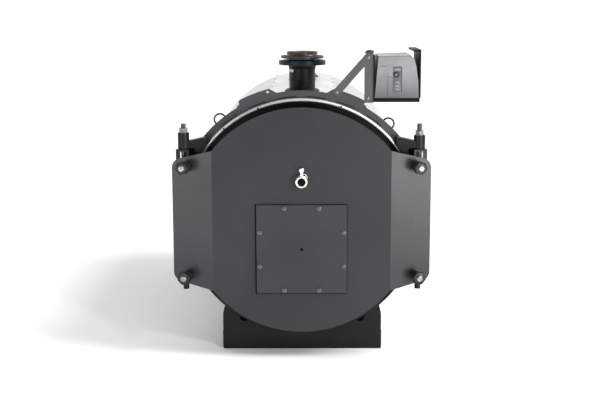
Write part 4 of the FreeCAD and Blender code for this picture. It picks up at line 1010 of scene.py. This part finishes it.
WING_FOLD = math.radians(12)
FOLD_X = 0.445
CLAMP_X = 0.568
CLAMP_RISE = 0.277
STUD_BORE = 0.014
NUT_SEAT = 0.058
clamp_nuts = bmesh.new()
clamp_ends = bmesh.new()
for side in (-1, 1):
    out = Vector((side * math.sin(WING_FOLD), -math.cos(WING_FOLD), 0))
    seat_y = plate_high.y + (CLAMP_X - FOLD_X) * math.tan(WING_FOLD)
    for level in (-1, 1):
        seat = Vector((side * CLAMP_X, seat_y, AXIS_Z + level * CLAMP_RISE))
        here = facing(seat, out, 0.3 * side + 0.5 * level)
        for radius, low, high, edge, steps in ((0.030, 0, 0.006, 0.0014, 72),
                                               (0.022, 0.006, 0.0525, 0.0012, 64),
                                               (0.031, 0.053, NUT_SEAT, 0.0012, 72)):
            washer(clamp_nuts, here, STUD_BORE, radius, low, high, edge, steps=steps)
        nut(clamp_nuts, here @ Matrix.Translation((0, 0, NUT_SEAT)), 0.034, 0.0275,
            bore=0.0165, sectors=10)
        thread(clamp_nuts, here, 0.018, 0.004, 0.060, 0.0905)
        turn(clamp_nuts, [(0, -0.029), (0.011, -0.029), (0.013, -0.026), (0.013, -0.002),
                          (0, -0.002)], here, steps=40, closed=False)
        turn(clamp_ends, [(0, 0.0900), (0.0152, 0.0900), (0.0152, 0.0915), (0.0118, 0.0948),
                          (0.0040, 0.0948), (0.0026, 0.0925), (0, 0.0920)], here, steps=48,
             closed=False)
settle("clamp_nuts_and_studs", clamp_nuts, oiled_black(), "door",
       stands_for=("clamp_bolts",))
settle("clamp_stud_ends", clamp_ends, rubbed_steel(), "door")
dress("clamp_blocks", black_paint, 1.4)


# ---- Hinges ----
# Forged arms carry a sleeve each.  A zinc-plated spindle passes down through the
# sleeve into the door's lug, and its nut sets the height of the door.

for node in ("hinge_arm_left", "hinge_arm_right"):
    dress(node, black_paint, 1.6, 3)
dress("lower_pivots", black_paint, 1.2)

# A black plate closes the corner behind each top lug.

backing = bmesh.new()
for side in (-1, 1):
    slab(backing, soften(rectangle(0.058, 0.064, side * 0.571, 1.034), 0.006),
         Matrix.Translation((0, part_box("front_collar")[1].y, 0))
         @ Matrix.Rotation(math.pi / 2, 4, "X"), 0.008, 0.0012)
settle("hinge_backing_plates", backing, black_paint, "boiler")

HINGE_X = 0.590
SPINDLE_R = 0.0134
WASHER = 0.003
spindle_low, spindle_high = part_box("hinge_spindles")
spindle_bars = bmesh.new()
spindle_nuts = bmesh.new()
for side, node in ((-1, "hinge_arm_left"), (1, "hinge_arm_right")):
    sleeve_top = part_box(node)[1].z
    foot = facing((side * HINGE_X, middle("hinge_spindles").y, 0), UP)
    thread(spindle_bars, foot, SPINDLE_R, 0.003, sleeve_top + 0.020, spindle_high.z)
    washer(spindle_bars, foot, 0, SPINDLE_R, spindle_low.z, sleeve_top + 0.021, 0.001, steps=48)
    washer(spindle_nuts, foot, SPINDLE_R + 0.0002, 0.024, sleeve_top, sleeve_top + WASHER,
           0.0007, steps=56)
    nut(spindle_nuts, foot @ Matrix.Translation((0, 0, sleeve_top + WASHER))
        @ Matrix.Rotation(0.4 * side, 4, "Z"), 0.0237, 0.022, bore=0.0130)
settle("spindle_bars", spindle_bars, zinc, "boiler", stands_for=("hinge_spindles",))
settle("spindle_nuts", spindle_nuts, zinc, "boiler")


# ---- Control unit ----
# A sheet bracket bolted to the collar holds the control housing: a silver case
# with rounded shoulders between a black side plate, tray and operating panel.


def grey_bracket():
    """Grey powder coat on the bracket: satin, 1 mm texture."""
    return finish("grey_bracket_coat", "#464749", "#3c3d3f", 0.45, patch_mm=120, grain_mm=1.0,
                  grain_depth_mm=0.03)[0]


def housing_plastic():
    """Deep black housing parts: a 0.7 mm texture that kills the shine."""
    return finish("black_housing_moulding", "#0e0f0f", "#090a0a", 0.5, patch_mm=60,
                  grain_mm=0.7, grain_depth_mm=0.04, specular=0.1)[0]


dress("control_bracket", grey_bracket(), 0.6)
housing_black = housing_plastic()
for node in ("control_tray", "control_side_plate", "control_fascia"):
    dress(node, housing_black, 1.6, 3)


def silver_case():
    """Silver-lacquered moulding with a 0.8 mm texture, and painted shade that darkens its lower
    part.
    """
    material, tree, shader, place, colour, _ = finish(
        "silver_lacquered_case", "#949596", "#77787a", 0.38, patch_mm=130, grain_mm=0.8,
        grain_depth_mm=0.02, metallic=0.45)
    low, high = case_low.z, case_high.z
    # Painted shade: the lower 60 % of the case blends towards dark grey, standing for the
    # bracket's shadow.
    painted_lower_shade = ramp(tree, part(tree, place, "Z"), low, low + (high - low) * 0.6, 0.75, 0)
    recolour(tree, shader, blend(tree, painted_lower_shade, colour, linear("#3c3d3f")))
    return material


case_low, case_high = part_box("control_case")
dress("control_case", silver_case(), 6.0, 4)

# The case's front has a groove where the door of the housing opens, a hinge
# line beside it, and a sunken strip with a round selector and three keys.



def line_on_case(mesh, x0, x1, z0, z1, proud=0.0010):
    """A thin line on the case's front, measured from its lower left corner."""
    place = facing((case_low.x + (x0 + x1) / 2, case_low.y + 0.0004, case_low.z + (z0 + z1) / 2),
                   FRONT)
    slab(mesh, rectangle(x1 - x0, z1 - z0), place, proud, min(x1 - x0, z1 - z0) * 0.2, 1)


grooves = bmesh.new()
line_on_case(grooves, 0.0185, 0.0555, 0.1570, 0.1590)
line_on_case(grooves, 0.0637, 0.0653, 0.0060, 0.1240)
line_on_case(grooves, 0.0653, 0.0885, 0.1045, 0.1060)
line_on_case(grooves, 0.0145, 0.1845, 0.2052, 0.2070, 0.0006)
groove_black = black_moulding("groove_shadow_plastic", 0.6)
settle("case_grooves", grooves, groove_black, "boiler")

strip_low, strip_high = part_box("control_strip")
strip_mid = middle("control_strip")
strip_face = case_low.y + 0.003
strip = bmesh.new()
slab(strip, soften(rectangle(0.040, 0.120), 0.003),
     facing((strip_mid.x, strip_face + 0.0025, strip_mid.z), FRONT), 0.0025, 0.0006)
settle("control_strip_panel", strip,
       black_moulding("grey_strip_plastic", 0.5, "#5b5d60", "#4b4d50"), "boiler",
       stands_for=("control_strip",))

selector = bmesh.new()
knob_centre = Vector((strip_low.x + 0.015, strip_face, strip_high.z - 0.039))
turn(selector, soften([(0.0085, 0), (0.0140, 0), (0.0136, 0.009), (0.0120, 0.011),
                       (0.0092, 0.011)], 0.0009, 3), facing(knob_centre, FRONT), steps=64)
settle("selector_ring", selector, groove_black, "boiler")
keys = bmesh.new()
turn(keys, [(0, 0.002), (0.0080, 0.002), (0.0080, 0.0045), (0.0070, 0.0055), (0, 0.0060)],
     facing(knob_centre, FRONT), steps=48, closed=False)
for drop in (0.038, 0.056, 0.074):
    slab(keys, soften(rectangle(0.019, 0.009), 0.0025),
         facing((strip_mid.x, strip_face, knob_centre.z - drop), FRONT), 0.0022, 0.0007)
slab(keys, soften(rectangle(0.030, 0.012), 0.002),
     facing((strip_mid.x, strip_face, knob_centre.z + 0.026), FRONT), 0.0018, 0.0006)
settle("selector_keys", keys,
       black_moulding("mid_grey_key_plastic", 0.42, "#808285", "#707275"), "boiler")

# Bolts through the bracket, and the black cable clip on top of its post.

bracket_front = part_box("control_bracket")[0].y
fixings = bmesh.new()
for x, z in ((0.176, 1.340), (0.332, 1.311), (0.332, 1.5127)):
    turn(fixings, soften([(0.0, 0), (0.0085, 0), (0.0085, 0.0016), (0.0, 0.0022)], 0.0005),
         facing((x, bracket_front + 0.0002, z), FRONT), steps=36)
    nut(fixings, facing((x, bracket_front - 0.0012, z), FRONT), 0.0062, 0.0045, sectors=5)
settle("bracket_fixings", fixings, zinc, "boiler")

clip = bmesh.new()
slab(clip, soften([(0.313, 1.536), (0.322, 1.547), (0.330, 1.551), (0.352, 1.5505),
                   (0.357, 1.545), (0.3565, 1.536), (0.345, 1.533), (0.333, 1.538),
                   (0.325, 1.534)], 0.002),
     Matrix.Translation((0, bracket_front - 0.001, 0)) @ Matrix.Rotation(math.pi / 2, 4, "X"),
     0.006, 0.001)
settle("bracket_cable_clip", clip, plastic, "boiler")


# ---- Studio ----
# A pale floor under soft light: a key from the upper right, two low softboxes
# that the wings reflect, and a white surround that is dimmer behind the camera.

FLOOR = 30
floor_mesh = bpy.data.meshes.new("studio_floor")
floor_mesh.from_pydata([(-FLOOR, -FLOOR, 0), (FLOOR, -FLOOR, 0), (FLOOR, FLOOR, 0),
                        (-FLOOR, FLOOR, 0)], [], [(0, 1, 2, 3)])
floor_material = bpy.data.materials.new("white_studio_floor")
floor_material.use_nodes = True
floor_shader = floor_material.node_tree.nodes["Principled BSDF"]
floor_shader.inputs["Base Color"].default_value = linear("#f4f4f4")
floor_shader.inputs["Roughness"].default_value = 0.9
floor_shader.inputs["Specular IOR Level"].default_value = 0.1
floor_mesh.materials.append(floor_material)
floor = put("studio_floor", floor_mesh)


def softbox(name, place, aim, width, height, watts):
    """A rectangular area light that looks at a point."""
    lamp = bpy.data.lights.new(name, "AREA")
    lamp.shape = "RECTANGLE"
    lamp.size = width
    lamp.size_y = height
    lamp.energy = watts
    held = put(name, lamp)
    held.location = place
    held.rotation_euler = (Vector(aim) - Vector(place)).to_track_quat("-Z", "Y").to_euler()
    held.visible_camera = False


softbox("key_upper_right", (1.7, -3.0, 2.9), (0, 0, 0.95), 0.4, 0.4, 38)
softbox("strip_right", (2.55, -3.2, 0.62), (0.55, 0, 0.65), 1.5, 1.2, 100)
softbox("strip_left", (-2.55, -3.2, 0.62), (-0.55, 0, 0.65), 1.5, 1.2, 42)
sun = bpy.data.lights.new("side_sun", "SUN")
sun.energy = 2.5
sun.angle = math.radians(24)
put("side_sun", sun).rotation_euler = Vector((-0.70, 0.16, -0.70)).to_track_quat(
    "-Z", "Y").to_euler()

world = bpy.data.worlds.new("studio_white")
world.use_nodes = True
sky = world.node_tree
looking = add(sky, "TexCoord").outputs["Generated"]
behind = ramp(sky, part(sky, looking, "Y"), -0.75, 0.15, 0.02, 1.18)
sky.links.new(behind, sky.nodes["Background"].inputs["Strength"])
sky.nodes["Background"].inputs["Color"].default_value = (1, 1, 1, 1)
bpy.context.scene.world = world
bpy.context.scene.view_settings.view_transform = "Standard"

camera_data = bpy.data.cameras.new("camera")
camera_data.lens = 61.568
camera_data.shift_x = -0.0262
camera_data.shift_y = -0.07
camera_data.dof.use_dof = False
camera = put("camera", camera_data)
camera.location = (0.0492, -5.1496, 1.7917)
camera.rotation_euler = (math.radians(90 - 8.706), 0, math.radians(-0.241))
bpy.context.scene.camera = camera
